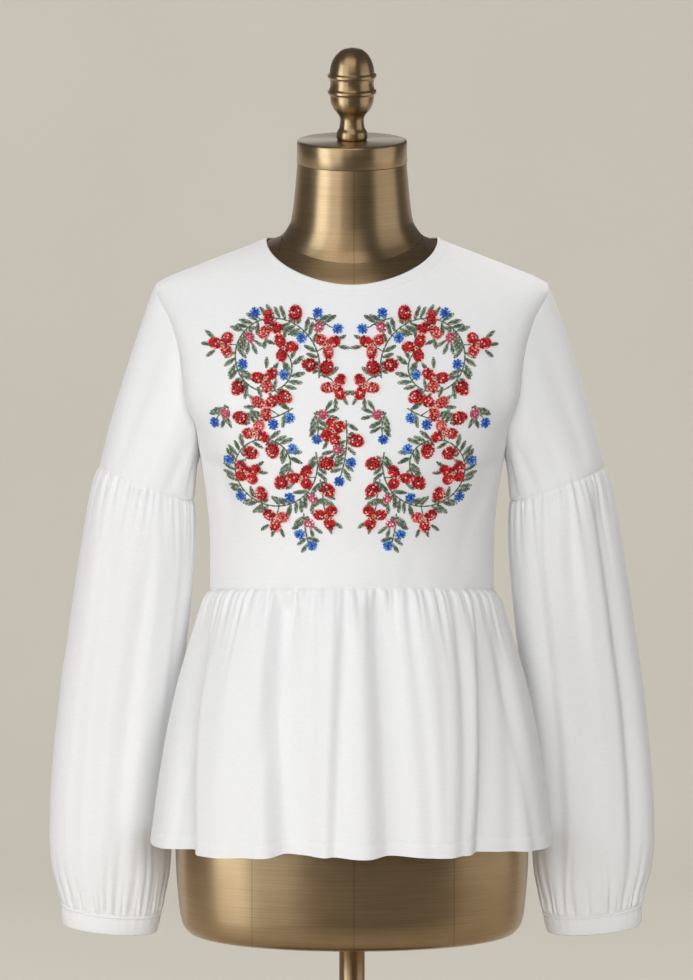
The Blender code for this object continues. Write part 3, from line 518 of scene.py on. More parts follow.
def tip_rounded(grid):
    """A grid with the corners at the shoulder tips rounded off."""
    for side in (-1, 1):
        tip = np.array([side * SHOULDER_TIP_X, SHOULDER_Y, float(shoulder_z(SHOULDER_TIP_X))])
        away = np.linalg.norm(grid - tip, axis=2)
        grid = grid - (TIP_DROP * bell(away, TIP_REACH))[..., None] * np.array([side * TIP_LEAN, 0, 1])
    return grid


def dense_ends(steps, close, count):
    """Shares from 0 to 1, with count extra rows within a close share of both ends."""
    even = np.linspace(0, 1, steps + 1)
    near = np.linspace(0, close, count + 1)[1:]
    return np.unique(np.concatenate([even, near, 1 - near]).round(6))


# Bodice

# Creases of the bodice: both ends, half width and depth. Each tapers over a share of its length at both ends
CREASE_TAPER = 0.5
Crease = namedtuple("Crease", "x z to_x to_z width depth")
BODICE_CREASES = {
    -1: (
        Crease(-0.146, 0.600, -0.150, 0.520, 0.010, 0.0016),
        Crease(0.143, 0.610, 0.150, 0.520, 0.010, 0.0018),
        Crease(-0.139, 0.500, -0.118, 0.440, 0.007, 0.0016),
        Crease(0.140, 0.498, 0.122, 0.430, 0.007, 0.0018),
        Crease(-0.128, 0.470, -0.112, 0.385, 0.009, 0.0010),
        Crease(0.120, 0.460, 0.108, 0.380, 0.009, 0.0012),
        Crease(-0.070, 0.400, -0.072, 0.352, 0.008, 0.0008),
        Crease(0.062, 0.405, 0.060, 0.350, 0.008, 0.0009),
        Crease(-0.015, 0.392, -0.012, 0.345, 0.007, 0.0006),
    ),
    1: (
        Crease(-0.146, 0.600, -0.150, 0.520, 0.010, 0.0016),
        Crease(0.143, 0.605, 0.150, 0.520, 0.010, 0.0016),
        Crease(-0.135, 0.495, -0.100, 0.420, 0.008, 0.0018),
        Crease(0.137, 0.492, 0.104, 0.410, 0.008, 0.0016),
        Crease(-0.040, 0.450, -0.050, 0.360, 0.010, 0.0012),
        Crease(0.035, 0.440, 0.046, 0.356, 0.010, 0.0012),
        Crease(0.000, 0.640, 0.002, 0.520, 0.014, 0.0008),
    ),
}


def crease_depth(x, z, table):
    """How far inward the creases take the cloth at a place across and up."""
    total = np.zeros(np.broadcast(x, z).shape)
    for crease in table:
        along = np.array([crease.to_x - crease.x, crease.to_z - crease.z])
        length = np.linalg.norm(along)
        along = along / length
        gone = ((x - crease.x) * along[0] + (z - crease.z) * along[1]) / length
        off = (x - crease.x) * along[1] - (z - crease.z) * along[0]
        into, out_of = gone + CREASE_TAPER / 2, 1 + CREASE_TAPER / 2 - gone
        taper = ease(into / CREASE_TAPER) * ease(out_of / CREASE_TAPER)
        total += crease.depth * bell(off, crease.width) * taper
    return total


def bodice_rows():
    side = ARMPIT_SHARE * np.linspace(0, 1, SIDE_STEPS + 1)
    arm = ARMPIT_SHARE + (1 - ARMPIT_SHARE) * np.linspace(0, 1, ARMHOLE_STEPS + 1)[1:]
    return np.unique(np.concatenate([side, ROWS_NEAR_WAIST, arm, ROWS_NEAR_NECK]).round(6))


def bodice_grid(face):
    """Points of one bodice panel, as rows from the waist seam up to the shoulder and neckline."""
    edge = SHOULDER_NECK_X + BAND_WIDTH
    top_x, top_turn, low_turn, on_shoulder = top_edge(BODICE, face, SHOULDER_TIP_X, edge, NECK_DROP[face])
    top_z = np.where(on_shoulder, shoulder_z(top_x), neckline_z(top_x, face, BAND_WIDTH))
    low_x = column(BODICE, "half_width", WAIST_SIDE_Z) * np.sin(low_turn)
    low_z = waist_z(body_y(BODICE, low_x, WAIST_SIDE_Z, face), face)
    share = bodice_rows()[:, None]
    side_z = WAIST_SIDE_Z + share * (shoulder_z(SHOULDER_TIP_X) - WAIST_SIDE_Z)
    x = column(BODICE, "half_width", side_z) * np.sin((1 - share) * low_turn + share * top_turn)
    z = low_z + share * (top_z - low_z)
    grid = np.stack([x, body_y(BODICE, x, z, face), z], axis=2)
    grid[0, :, 2] = waist_z(grid[0, :, 1], face)
    return grid


def armhole_centre(side):
    mid_z = (ARMPIT_Z + shoulder_z(SHOULDER_TIP_X)) / 2
    return np.array([side * float(column(BODICE, "half_width", mid_z)), SHOULDER_Y, mid_z])


def bodice_panel(name, face, cover):
    grid = bodice_grid(face)
    normals = outward_normals(grid, False)
    shoulder = np.zeros(grid.shape[1], bool)
    shoulder[: SHOULDER_STEPS + 1] = True
    shoulder[-SHOULDER_STEPS - 1 :] = True
    normals[-1, shoulder] = flattened(normals[-1, shoulder], (0, 1, 0))
    armpit = int(np.searchsorted(bodice_rows(), ARMPIT_SHARE))
    for c, side in ((0, -1), (-1, 1)):
        normals[:armpit, c] = flattened(normals[:armpit, c], (0, 1, 0))
        normals[armpit:, c] = unit(grid[armpit:, c] - armhole_centre(side))
    grid = grid - crease_depth(grid[..., 0], grid[..., 2], BODICE_CREASES[face])[..., None] * normals
    turn = np.degrees(np.linspace(-math.pi / 2, math.pi / 2, grid.shape[1]))
    held = peplum_folds(face, turn, np.zeros(len(turn)))[0]
    above = grid[..., 2] - grid[:1, :, 2]
    grid = grid - (held * bell(above, WAIST_HOLD))[..., None] * flattened(normals, (0, 0, 1))
    grid[0, :, 2] = waist_z(grid[0, :, 1], face) - SEAM_LAP
    up = down_columns(grid)
    sides = from_sides(grid)
    grid = dipped(grid, normals, up)
    grid = dipped(grid, normals, up[-1:] - up, NECK_DIP, NECK_REACH)
    cloth_shell(name, tip_rounded(dipped(grid, normals, sides, PLAIN_DIP)), normals, False, cover)


# Neckband

# Loops of the neckband: how far each lies out from the neck edge and how far it lifts off the body
Lip = namedtuple("Lip", "outset lift")
BAND_SECTION = (
    Lip(0.0090, -0.0001),
    Lip(0.0086, 0.0001),
    Lip(0.0078, 0.0002),
    Lip(0.0062, 0.0001),
    Lip(0.0042, 0.0001),
    Lip(0.0028, 0.0004),
    Lip(0.0014, 0.0009),
    Lip(0.0003, 0.0007),
    Lip(-0.0003, 0.0002),
    Lip(-0.0001, -0.0007),
    Lip(0.0008, -0.0012),
    Lip(0.0024, -0.0013),
    Lip(0.0060, -0.0013),
    Lip(0.0090, -0.0013),
)


def neckband(cover):
    """The narrow band round the neckline, with a rolled edge."""
    outsets = np.array([0.0, BAND_WIDTH / 2, BAND_WIDTH])
    rows = [[], [], []]
    for face in (-1, 1):
        edge = SHOULDER_NECK_X + BAND_WIDTH
        shares = even_neck_shares(BAND_STEPS, face, BODICE, edge, NECK_DROP[face])[::-face][:-1]
        for row, outset in enumerate(outsets):
            x = (SHOULDER_NECK_X + outset) * shares
            z = neckline_z(x, face, outset)
            rows[row] += list(np.stack([x, body_y(BODICE, x, z, face), z], axis=1))
    grid = np.array(rows)
    normals = outward_normals(grid, True)
    section = []
    for lip in BAND_SECTION:
        at = lip.outset / BAND_WIDTH * 2
        low = min(int(max(at, 0)), 1)
        base = grid[low] + (at - low) * (grid[low + 1] - grid[low])
        lean = unit(normals[low] + (at - low) * (normals[low + 1] - normals[low]))
        section.append(base + lip.lift * lean)
    band_shell("neckband", "neckband_rib", np.array(section), cover)


# Gathers and folds


def long_folds(folds, degrees, share):
    """How far inward the long folds take the cloth, at places round and along it."""
    total = np.zeros(np.broadcast(degrees, share).shape)
    for fold in folds:
        middle = fold.top + (fold.bottom - fold.top) * share
        spread = np.where(degrees < middle, fold.left, fold.right)
        depth = fold.depth * (FOLD_START + (1 - FOLD_START) * ease(share / fold.opens))
        total += depth * bell(degrees - middle, spread)
    return total


def gathers(rows, seed, low, high, across, share, drop):
    """How far inward the gathers at a seam take the cloth, at places round it and a share along it.

    Each gather fades over its own length, and the seam, drop metres away, holds it nearly flat. From 0 to
    360 degrees the gathers go round a tube.
    """
    turns = (-360, 0, 360) if high - low == 360 else (0,)
    total = 0.0
    for row in rows:
        own_seed = seed + row.seed_step
        pitch = (high - low) / row.count
        places = low + pitch * (np.arange(row.count) + 0.5)
        places += GATHER_WANDER * pitch * wander(row.count, own_seed)
        ends = np.concatenate([places + turn for turn in turns])
        deep = np.tile(1 - GATHER_UNEVEN + GATHER_UNEVEN * wander(row.count, own_seed + 1), len(turns))
        reach = np.tile(row.length * (1 + GATHER_SPREAD * wander(row.count, own_seed + 5)), len(turns))
        order = np.argsort(ends)
        position = np.interp(across, ends[order], np.arange(len(ends), dtype=float))
        depth = row.depth * np.interp(across, ends[order], deep[order])
        fading = np.exp(-((share / np.interp(across, ends[order], reach[order])) ** GATHER_FADE))
        total = total + depth * narrow_wave(position) * fading
    return total * (HELD_SHARE + (1 - HELD_SHARE) * ease(drop / HELD_REACH))


def narrow_wave(position):
    """A wave with narrow troughs and broad ridges: 1 in a trough and less than 0 on a ridge."""
    trough = (0.5 + 0.5 * np.cos(2 * math.pi * position)) ** TROUGH_SHARPNESS
    return (1 + RIDGE_HEIGHT) * trough - RIDGE_HEIGHT


def slanting(across, gone, seed):
    """Places round the cloth, shifted along it so that some gathers run aslant."""
    return across + GATHER_SLANT * np.sin(np.radians(across) * SLANT_WAVES + seed) * ease(gone / SLANT_REACH)


# Peplum


def peplum_base(face, turns, shares):
    turn, share = np.meshgrid(turns, shares)
    side = "front" if face < 0 else "back"
    reach = column(PEPLUM, side, share, "share") * np.abs(np.cos(turn)) ** SIDE_ROUNDNESS
    x = column(PEPLUM, "half_width", share, "share") * np.sin(turn)
    y = column(PEPLUM, "middle_y", share, "share") + face * reach
    top = waist_z(y[0], face)
    low = HEM_SIDE_Z + HEM_RISE[face] * np.cos(turn) ** 2
    return np.stack([x, y, top + (low - top) * share], axis=2)


# Soft folds between the long ones
SOFT_FOLDS = {
    -1: (
        Fold(-60, -66, 0.0016, 3, 3, 0.3),
        Fold(-24, -33, 0.0026, 3, 3, 0.2),
        Fold(-15, -13, 0.0022, 2, 3, 0.1),
        Fold(22, 24, 0.0026, 3, 3, 0.1),
        Fold(33, 28, 0.0012, 2, 3, 0.5),
        Fold(64, 66, 0.0022, 3, 4, 0.3),
    ),
    1: (
        Fold(-52, -50, 0.0022, 3, 4, 0.3),
        Fold(-26, -26, 0.0018, 3, 3, 0.4),
        Fold(-7, -6, 0.0014, 2, 3, 0.2),
        Fold(12, 14, 0.0018, 3, 3, 0.3),
        Fold(31, 29, 0.0022, 3, 3, 0.3),
        Fold(54, 52, 0.0018, 3, 4, 0.4),
    ),
}


def peplum_folds(face, across, share):
    """How far inward the gathers and folds take the cloth, and the part of it from the long folds."""
    calm = 1 - bell(np.abs(across) - 90, SIDE_SEAM_CALM)
    drop = share * (WAIST_SIDE_Z - HEM_SIDE_Z)
    small = gathers(PEPLUM_GATHERS, PEPLUM_SEED[face], -90, 90, across, share, drop)
    large = long_folds(PEPLUM_FOLDS[face], across, share) * calm
    soft = long_folds(SOFT_FOLDS[face], across, share) * calm
    return small * calm + large + soft, large


def peplum_panel(name, face, cover):
    """One gathered panel, with its long folds and a turned hem. It returns its hem's line of stitches."""
    degrees = np.linspace(-90, 90, PEPLUM_COLUMNS + 1)
    shares = np.unique(np.concatenate([dense_ends(PEPLUM_STEPS, *CLOSE_ROWS["peplum"]), ROWS_NEAR_HEM]))
    grid = peplum_base(face, np.radians(degrees), shares)
    centre = (0, 0, HEM_SIDE_Z)
    across, share = np.meshgrid(degrees, shares)
    inward, large = peplum_folds(face, across, share)
    grid = grid - inward[..., None] * flattened(outward_normals(grid, False, centre), (0, 0, 1))
    grid[..., 2] += HEM_LIFT * large * share
    grid[0, :, 2] = waist_z(grid[0, :, 1], face) + SEAM_LAP
    normals = outward_normals(grid, False, centre)
    normals[:, [0, -1]] = flattened(normals[:, [0, -1]], (0, 1, 0))
    down = down_columns(grid)
    from_hem = down[-1:] - down
    sides = from_sides(grid)
    grid = dipped(dipped(grid, normals, down), normals, sides)
    proud = HEM_PROUD * ease((HEM_DEPTH + HEM_STEP / 2 - from_hem) / HEM_STEP)
    groove = HEM_GROOVE * bell(from_hem - HEM_DEPTH, GROOVE_REACH)
    grid = grid + (proud - groove)[..., None] * normals
    cloth_shell(name, grid, normals, False, cover)
    return line_at(grid, from_hem, HEM_DEPTH), line_at(normals, from_hem, HEM_DEPTH)


def line_at(grid, distance, at):
    """Points of a grid where a distance, which falls down its columns, has one value."""
    found = []
    for c in range(grid.shape[1]):
        gone = distance[::-1, c]
        found.append([np.interp(at, gone, grid[::-1, c, k]) for k in range(3)])
    return np.array(found)


# Sleeves


def ring_points(table, side, degrees, heights):
    """Points of a sleeve's rings: degrees run from the outer side, through the front, round to it again."""
    turn = np.radians(degrees)[None, :]
    level = np.asarray(heights, float)[:, None]
    out = column(table, "half_width", level) * np.cos(turn)
    x = side * (column(table, "centre_x", level) + out)
    y = column(table, "centre_y", level) - column(table, "half_depth", level) * np.sin(turn)
    tilt = column(table, "rise", level) * np.cos(turn) - column(table, "pitch", level) * np.sin(turn)
    z = level + tilt
    return np.stack(np.broadcast_arrays(x, y, z), axis=2)


def ring_axis(ring, side):
    """Direction square to a ring, pointing up the sleeve."""
    across = np.array([side * ring.half_width, 0, ring.rise])
    along = np.array([0, ring.half_depth, ring.pitch])
    return unit(side * np.cross(across, along))


def sleeve_seam_degrees(level):
    half_turn = np.degrees(np.arccos(np.clip(2 * (level - ARMPIT_SHARE) / (1 - ARMPIT_SHARE) - 1, -1, 1)))
    return np.concatenate([half_turn, 360 - half_turn[-2:0:-1]])


def armhole_loop(side):
    """Points of the armhole from the shoulder tip, down the front to the armpit, and up the back."""
    column_at = 0 if side < 0 else -1
    rows = bodice_rows()
    first = int(np.searchsorted(rows, ARMPIT_SHARE))
    front = bodice_grid(-1)[first:, column_at][::-1]
    back = bodice_grid(1)[first:, column_at]
    return np.concatenate([front, back[1:-1]]), rows[first:][::-1]


# Creases of the upper sleeve, and how soon they begin and end along it
CREASE_START = 4
CREASE_END = 6
SLEEVE_CREASES = (
    Fold(52, 50, 0.0016, 8, 10, 0.6),
    Fold(92, 84, 0.0014, 8, 7, 0.6),
    Fold(128, 118, 0.0020, 7, 6, 0.5),
    Fold(150, 152, 0.0022, 6, 6, 0.4),
    Fold(214, 206, 0.0020, 7, 7, 0.4),
    Fold(262, 270, 0.0016, 9, 9, 0.6),
    Fold(312, 306, 0.0012, 9, 9, 0.6),
)


def upper_sleeve(name, side, cover):
    """The plain upper sleeve, from the armhole to the seam that the balloon is gathered to."""
    start, level = armhole_loop(side)
    degrees = sleeve_seam_degrees(level)
    end = ring_points(BALLOON, side, degrees, [BALLOON[0].height])[0]
    reach = np.linalg.norm(end - start, axis=1, keepdims=True) / 3
    mirror = np.array([side, 1, 1])
    leave = start + reach * np.array(ARMHOLE_HANDLE) * mirror
    arrive = end - reach * np.array(SEAM_HANDLE) * mirror
    shares = dense_ends(CAP_STEPS, *CLOSE_ROWS["upper_sleeve"])
    steps = shares[:, None, None]
    grid = (
        start * (1 - steps) ** 3
        + 3 * leave * steps * (1 - steps) ** 2
        + 3 * arrive * steps**2 * (1 - steps)
        + end * steps**3
    )
    normals = outward_normals(grid, True, grid.mean(axis=1, keepdims=True))
    normals[0] = unit(start - armhole_centre(side))
    normals[-1] = flattened(normals[-1], ring_axis(BALLOON[0], side))
    across, share = np.meshgrid(degrees, shares)
    calm = ease(share * CREASE_START) * ease((1 - share) * CREASE_END)
    held = balloon_folds(side, degrees, np.zeros(len(degrees)))
    above = np.linalg.norm(grid - grid[-1:], axis=2)
    inward = long_folds(SLEEVE_CREASES, across, share) * calm + held * bell(above, WAIST_HOLD)
    grid = grid - inward[..., None] * normals
    down = down_columns(grid)
    grid = tip_rounded(dipped(grid, normals, down, PLAIN_DIP))
    cloth_shell(name, dipped(grid, normals, down[-1:] - down), normals, True, cover)


def balloon_folds(side, across, share):
    """How far inward the gathers and folds take the balloon sleeve's cloth."""
    seed = SLEEVE_SEED[side]
    length = BALLOON[0].height - BALLOON[-1].height
    inward = long_folds(SLEEVE_FOLDS[side], across, share) * np.clip((1 - share) / BALLOON_FOLD_END, 0, 1)
    for gone, slant_seed in ((share, seed), (1 - share, seed + 2)):
        places = slanting(across, gone, slant_seed)
        inward = inward + gathers(SLEEVE_GATHERS, seed, 0, 360, places, gone, gone * length)
    return inward


def balloon_sleeve(name, side, cover):
    """The full lower sleeve, gathered into the upper sleeve at its top and into the cuff below."""
    degrees = np.linspace(0, 360, BALLOON_COLUMNS, endpoint=False)
    shares = dense_ends(BALLOON_STEPS, *CLOSE_ROWS["balloon"])
    top, low = BALLOON[0].height, BALLOON[-1].height
    grid = ring_points(BALLOON, side, degrees, top + (low - top) * shares)
    middle = grid.mean(axis=1, keepdims=True)
    normals = outward_normals(grid, True, middle)
    level = flattened(normals, (0, 0, 1))
    for row in (0, -1):
        level[row] = flattened(normals[row], ring_axis(BALLOON[row], side))
    grid = grid - balloon_folds(side, *np.meshgrid(degrees, shares))[..., None] * level
    normals = outward_normals(grid, True, middle)
    down = down_columns(grid)
    grid = dipped(dipped(grid, normals, down), normals, down[-1:] - down)
    cloth_shell(name, grid, normals, True, cover)


# Ripples below the cuff's seam: their depth, how many there are round it and how far down they lie
CUFF_RIPPLE = 0.00025
CUFF_RIPPLES = 31
RIPPLE_PLACE = 0.006

# Loops of the cuff: how far each lies below its top edge and how far it lifts off the cuff's rings
Rib = namedtuple("Rib", "drop lift")
CUFF_SECTION = (
    Rib(0.0000, -0.0004),
    Rib(0.0004, 0.0006),
    Rib(0.0012, 0.0011),
    Rib(0.0022, 0.0010),
    Rib(0.0030, 0.0002),
    Rib(0.0036, 0.0000),
    Rib(0.0060, 0.0003),
    Rib(0.0110, 0.0005),
    Rib(0.0160, 0.0003),
    Rib(0.0195, 0.0001),
    Rib(0.0208, -0.0003),
    Rib(0.0214, -0.0010),
    Rib(0.0213, -0.0018),
    Rib(0.0205, -0.0022),
    Rib(0.0150, -0.0022),
    Rib(0.0060, -0.0022),
    Rib(0.0000, -0.0022),
)


def cuff(name, side, cover):
    """The narrow turned band at the wrist, with a ridge along its seam and fine ripples below it."""
    degrees = np.linspace(0, 360, CUFF_COLUMNS, endpoint=False)
    top = CUFF[0].height
    drop, lift = np.array(CUFF_SECTION).T[..., None]
    base = ring_points(CUFF, side, degrees, top - np.minimum(drop[:, 0], top - CUFF[-1].height))
    lean = flattened(unit(base - base[0].mean(axis=0)), ring_axis(CUFF[0], side))
    ripple = np.sin(np.radians(degrees) * CUFF_RIPPLES) * bell(drop - RIPPLE_PLACE, RIPPLE_PLACE)
    band_shell(name, name + "_band", base + (lift + CUFF_RIPPLE * ripple)[..., None] * lean, cover)


# Dress form

FORM_EDGE_Z = 0.03
FORM_EDGE_ROWS = 16
FORM_LOW_ROWS = 70
FORM_HIGH_ROWS = 60
NECK_FOOT_ROWS = 8
NECK_ROWS = 40
COLLAR_HEIGHT = 0.024
COLLAR_REACH = 0.018
COLLAR_PASSES = 30
COLLAR_PULL = 0.25
NECK_FLARE = 0.0045
FLARE_HEIGHT = 0.0090
UNDERSIDE_RINGS = (0.02, 0.5, 0.97)
LID_RING = 0.2
FORM_CORE = (0, NECK_CENTRE_Y, 0.60)

# Seams down the form: place across and top
FORM_SEAM_WIDTH = 0.0006
FormSeam = namedtuple("FormSeam", "x top")
FORM_SEAMS = (FormSeam(-0.100, 0.70), FormSeam(0.002, 1.10), FormSeam(0.102, 0.70))


def form_loop_rows():
    """Points of the form's front and back, from its underside up to the shoulder and the neck's foot."""
    tip_x = FORM[-1].half_width
    edge_z = np.linspace(0, FORM_EDGE_Z, FORM_EDGE_ROWS)
    low_z = np.linspace(FORM_EDGE_Z, FORM_TURN_Z, FORM_LOW_ROWS)[1:]
    faces = []
    for face in (-1, 1):
        fall = FORM_NECK_DROP[face]
        top_x, top_turn, low_turn, on_shoulder = top_edge(FORM, face, tip_x, FORM_NECK_X, fall, FORM_DROP)
        neck_z = neckline_z(top_x, face, 0.0, FORM_NECK_X, fall)
        top_z = np.where(on_shoulder, shoulder_z(top_x), neck_z) - FORM_DROP
        tip_z = float(top_z[0])
        high_z = np.linspace(FORM_TURN_Z, tip_z, FORM_HIGH_ROWS)[1:]
        side_z = np.concatenate([edge_z, low_z, high_z])[:, None]
        lift = np.clip((side_z - FORM_TURN_Z) / (tip_z - FORM_TURN_Z), 0, 1)
        x = column(FORM, "half_width", side_z) * np.sin((1 - lift) * low_turn + lift * top_turn)
        z = side_z + lift * (top_z - tip_z)
        y = body_y(FORM, x, z, face, FORM_DROP)
        inward = np.sqrt(np.clip(1 - (x[-1] / FORM_NECK_X) ** 2, 0, 1))
        foot = SHOULDER_Y + face * FORM_NECK_DEPTH[face] * inward
        collar = ease(1 - (z[-1] - z) / COLLAR_HEIGHT)
        y = y + np.where(on_shoulder, 0.0, foot - y[-1]) * collar
        y[-1] = np.where(on_shoulder, SHOULDER_Y, foot)
        near = COLLAR_PULL * (bell(np.abs(x) - FORM_NECK_X, COLLAR_REACH) * collar)[:-1, 1:-1]
        for _ in range(COLLAR_PASSES):
            y[:-1, 1:-1] += near * (y[:-1, 2:] - 2 * y[:-1, 1:-1] + y[:-1, :-2])
        faces.append(np.stack([x, y, z], axis=2))
    return faces


def flared(loops, flare, angle):
    """Loops drawn outward by a flare, and down along the slope of the shoulders."""
    way = np.stack([np.cos(angle), np.sin(angle), -SHOULDER_SLOPE * np.cos(angle) ** 2], axis=1)
    return loops + flare[..., None] * way


def neck_loops(foot):
    """Loops of the neck, from its foot on the shoulders up to the cap."""
    angle = np.arctan2(foot[:, 1] - NECK_CENTRE_Y, foot[:, 0])
    low, bend, top = NECK_RINGS[0].height, NECK_RINGS[1].height, NECK_RINGS[-1].height
    heights = np.concatenate([np.linspace(low, bend, NECK_FOOT_ROWS), np.linspace(bend, top, NECK_ROWS)[1:]])
    heights = heights[:, None]
    radius = column(NECK_RINGS, "radius", heights)
    blend = column(NECK_RINGS, "blend", heights)[..., None]
    ring = np.broadcast_arrays(radius * np.cos(angle), NECK_CENTRE_Y + radius * np.sin(angle), heights)
    loops = np.concatenate([foot[None], blend * np.stack(ring, axis=2) + (1 - blend) * foot])
    return flared(loops, NECK_FLARE * np.exp(-(loops[..., 2] - foot[:, 2]) / FLARE_HEIGHT), angle)


def form_torso(cover):
    """The dress form's torso and neck. It returns the neck's foot and the directions out of it."""
    front, back = form_loop_rows()
    torso = np.concatenate([front, back[:, ::-1]], axis=1)
    top = torso[-1]
    at_neck = ease(1 - (np.abs(top[:, 0]) - FORM_NECK_X) / COLLAR_HEIGHT)
    flare = NECK_FLARE * at_neck * ease(1 - (top[:, 2] - torso[..., 2]) / COLLAR_HEIGHT)
    torso = flared(torso, flare, np.arctan2(top[:, 1] - NECK_CENTRE_Y, top[:, 0]))
    torso = np.concatenate([[torso[0] * (share, share, 1) for share in UNDERSIDE_RINGS], torso])
    at_foot = slice(SHOULDER_STEPS, SHOULDER_STEPS + NECK_STEPS + 1)
    neck = neck_loops(np.concatenate([front[-1, at_foot], back[-1, at_foot][::-1][1:-1]]))
    neck = np.concatenate([neck, neck[-1:] * (LID_RING, LID_RING, 1)])
    points = np.concatenate([torso.reshape(-1, 3), neck.reshape(-1, 3)])
    faces = [grid_faces(*torso.shape[:2], True), grid_faces(*neck.shape[:2], True, torso[..., 0].size)]
    made = filled_mesh("form_torso", points, np.concatenate(faces), points[:, [0, 2]])
    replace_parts(new_piece("form_torso_brushed", made, cover), "form_torso")
    line = np.concatenate([neck[0], neck[0, :1]])
    return line, line - FORM_CORE


# Turned fittings

Turn = namedtuple("Turn", "radius height")
FINIAL_Z = 0.8062
FINIAL_PROFILE = (
    Turn(0.0000, 0.0930),
    Turn(0.0080, 0.0916),
    Turn(0.0150, 0.0868),
    Turn(0.0198, 0.0790),
    Turn(0.0222, 0.0700),
    Turn(0.0226, 0.0672),
    Turn(0.0244, 0.0658),
    Turn(0.0244, 0.0636),
    Turn(0.0226, 0.0620),
    Turn(0.0218, 0.0562),
    Turn(0.0226, 0.0510),
    Turn(0.0244, 0.0496),
    Turn(0.0244, 0.0474),
    Turn(0.0224, 0.0458),
    Turn(0.0216, 0.0390),
    Turn(0.0184, 0.0310),
    Turn(0.0134, 0.0248),
    Turn(0.0120, 0.0200),
    Turn(0.0128, 0.0120),
    Turn(0.0152, 0.0078),
    Turn(0.0156, 0.0030),
    Turn(0.0144, 0.0003),
    Turn(0.0000, 0.0003),
)
CAP_PROFILE = (
    Turn(0.0000, 0.8062),
    Turn(0.0524, 0.8062),
    Turn(0.0537, 0.8058),
    Turn(0.0545, 0.8050),
    Turn(0.0549, 0.8038),
    Turn(0.0552, 0.7835),
    Turn(0.0546, 0.7829),
    Turn(0.0000, 0.7829),
)
POLE_PROFILE = (
    Turn(0.0000, -0.0003),
    Turn(0.0125, -0.0003),
    Turn(0.0130, -0.0008),
    Turn(0.0130, -0.2172),
    Turn(0.0125, -0.2177),
    Turn(0.0000, -0.2177),
)
FOOT_PROFILE = (
    Turn(0.0000, -0.2180),
    Turn(0.0205, -0.2180),
    Turn(0.0230, -0.2190),
    Turn(0.0240, -0.2205),
    Turn(0.0240, -0.2262),
    Turn(0.0252, -0.2268),
    Turn(0.1440, -0.2280),
    Turn(0.1480, -0.2290),
    Turn(0.1500, -0.2310),
    Turn(0.1500, -0.2394),
    Turn(0.1494, -0.2400),
    Turn(0.0000, -0.2400),
)
TURN_STEPS = 120
TURN_UV_RADIUS = 0.05
CENTRE_RADIUS = 0.0002
ROUNDED_STEPS = 4


def rounded_profile(profile):
    """A profile with smooth curves between its points."""
    points = np.array(profile)
    gone = travelled(points)
    steps = np.arange((len(points) - 1) * ROUNDED_STEPS + 1) / ROUNDED_STEPS
    at = np.interp(steps, np.arange(len(points)), gone)
    return np.stack([smooth_curve(gone, points[:, k], at) for k in (0, 1)], axis=1)


def turned(node, profile, centre_y, lift, cover):
    """A round piece turned about the pole's line, with fine tool lines left to its material."""
    angle = np.linspace(0, 2 * math.pi, TURN_STEPS, endpoint=False)
    radius, height = np.maximum(profile[:, :1], CENTRE_RADIUS), profile[:, 1:] + lift
    rings = np.broadcast_arrays(radius * np.cos(angle), centre_y + radius * np.sin(angle), height)
    faces = grid_faces(len(profile), TURN_STEPS, True)
    places = even_places(angle * TURN_UV_RADIUS, travelled(profile))
    made = filled_mesh(node, np.stack(rings, axis=2).reshape(-1, 3), faces, places)
    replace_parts(new_piece(node + "_turned", made, cover), node)


# Materials


def new_material(name):
    made = bpy.data.materials.new(name)
    made.use_nodes = True
    return made, made.node_tree, made.node_tree.nodes["Principled BSDF"]


def set_inputs(node, **values):
    """Sets a node's own inputs by name, with _ for each space."""
    for key, value in values.items():
        node.inputs[key.replace("_", " ")].default_value = value


def add(tree, kind, **values):
    """A shader node with its inputs set by name."""
    made = tree.nodes.new("ShaderNode" + kind)
    set_inputs(made, **values)
    return made


def join(tree, source, target):
    tree.links.new(source, target)


def sums(tree, operation, first, second=None):
    """A maths node on sockets or numbers."""
    made = add(tree, "Math")
    made.operation = operation
    for slot, value in enumerate((first, second)):
        if isinstance(value, (int, float)):
            made.inputs[slot].default_value = value
        elif value is not None:
            join(tree, value, made.inputs[slot])
    return made.outputs[0]


def ramp(tree, source, stops):
    made = add(tree, "ValToRGB")
    points = made.color_ramp.elements
    while len(points) < len(stops):
        points.new(0.5)
    for point, (place, colour) in zip(points, stops):
        point.position = place
        point.color = (*colour, 1)
    join(tree, source, made.inputs["Fac"])
    return made.outputs["Color"]


def scaled_noise(tree, source, scale, size, detail):
    """Noise on coordinates that are scaled differently along each axis."""
    mapping = add(tree, "Mapping", Scale=scale)
    join(tree, source, mapping.inputs["Vector"])
    noise = add(tree, "TexNoise", Scale=size, Detail=detail)
    join(tree, mapping.outputs["Vector"], noise.inputs["Vector"])
    return noise.outputs["Fac"]


def relief(tree, height, target, strength, distance):
    """A bump from a height, joined to a Normal input."""
    made = add(tree, "Bump", Strength=strength, Distance=distance)
    join(tree, height, made.inputs["Height"])
    join(tree, made.outputs["Normal"], target.inputs["Normal"])
    return made


# Jersey: a wale's width and a course's height in metres, and the shades of its slubs
WALE = 0.00085
COURSE = 0.00065
JERSEY_TONES = ((0.3, (0.795, 0.797, 0.803)), (0.7, (0.825, 0.827, 0.833)))


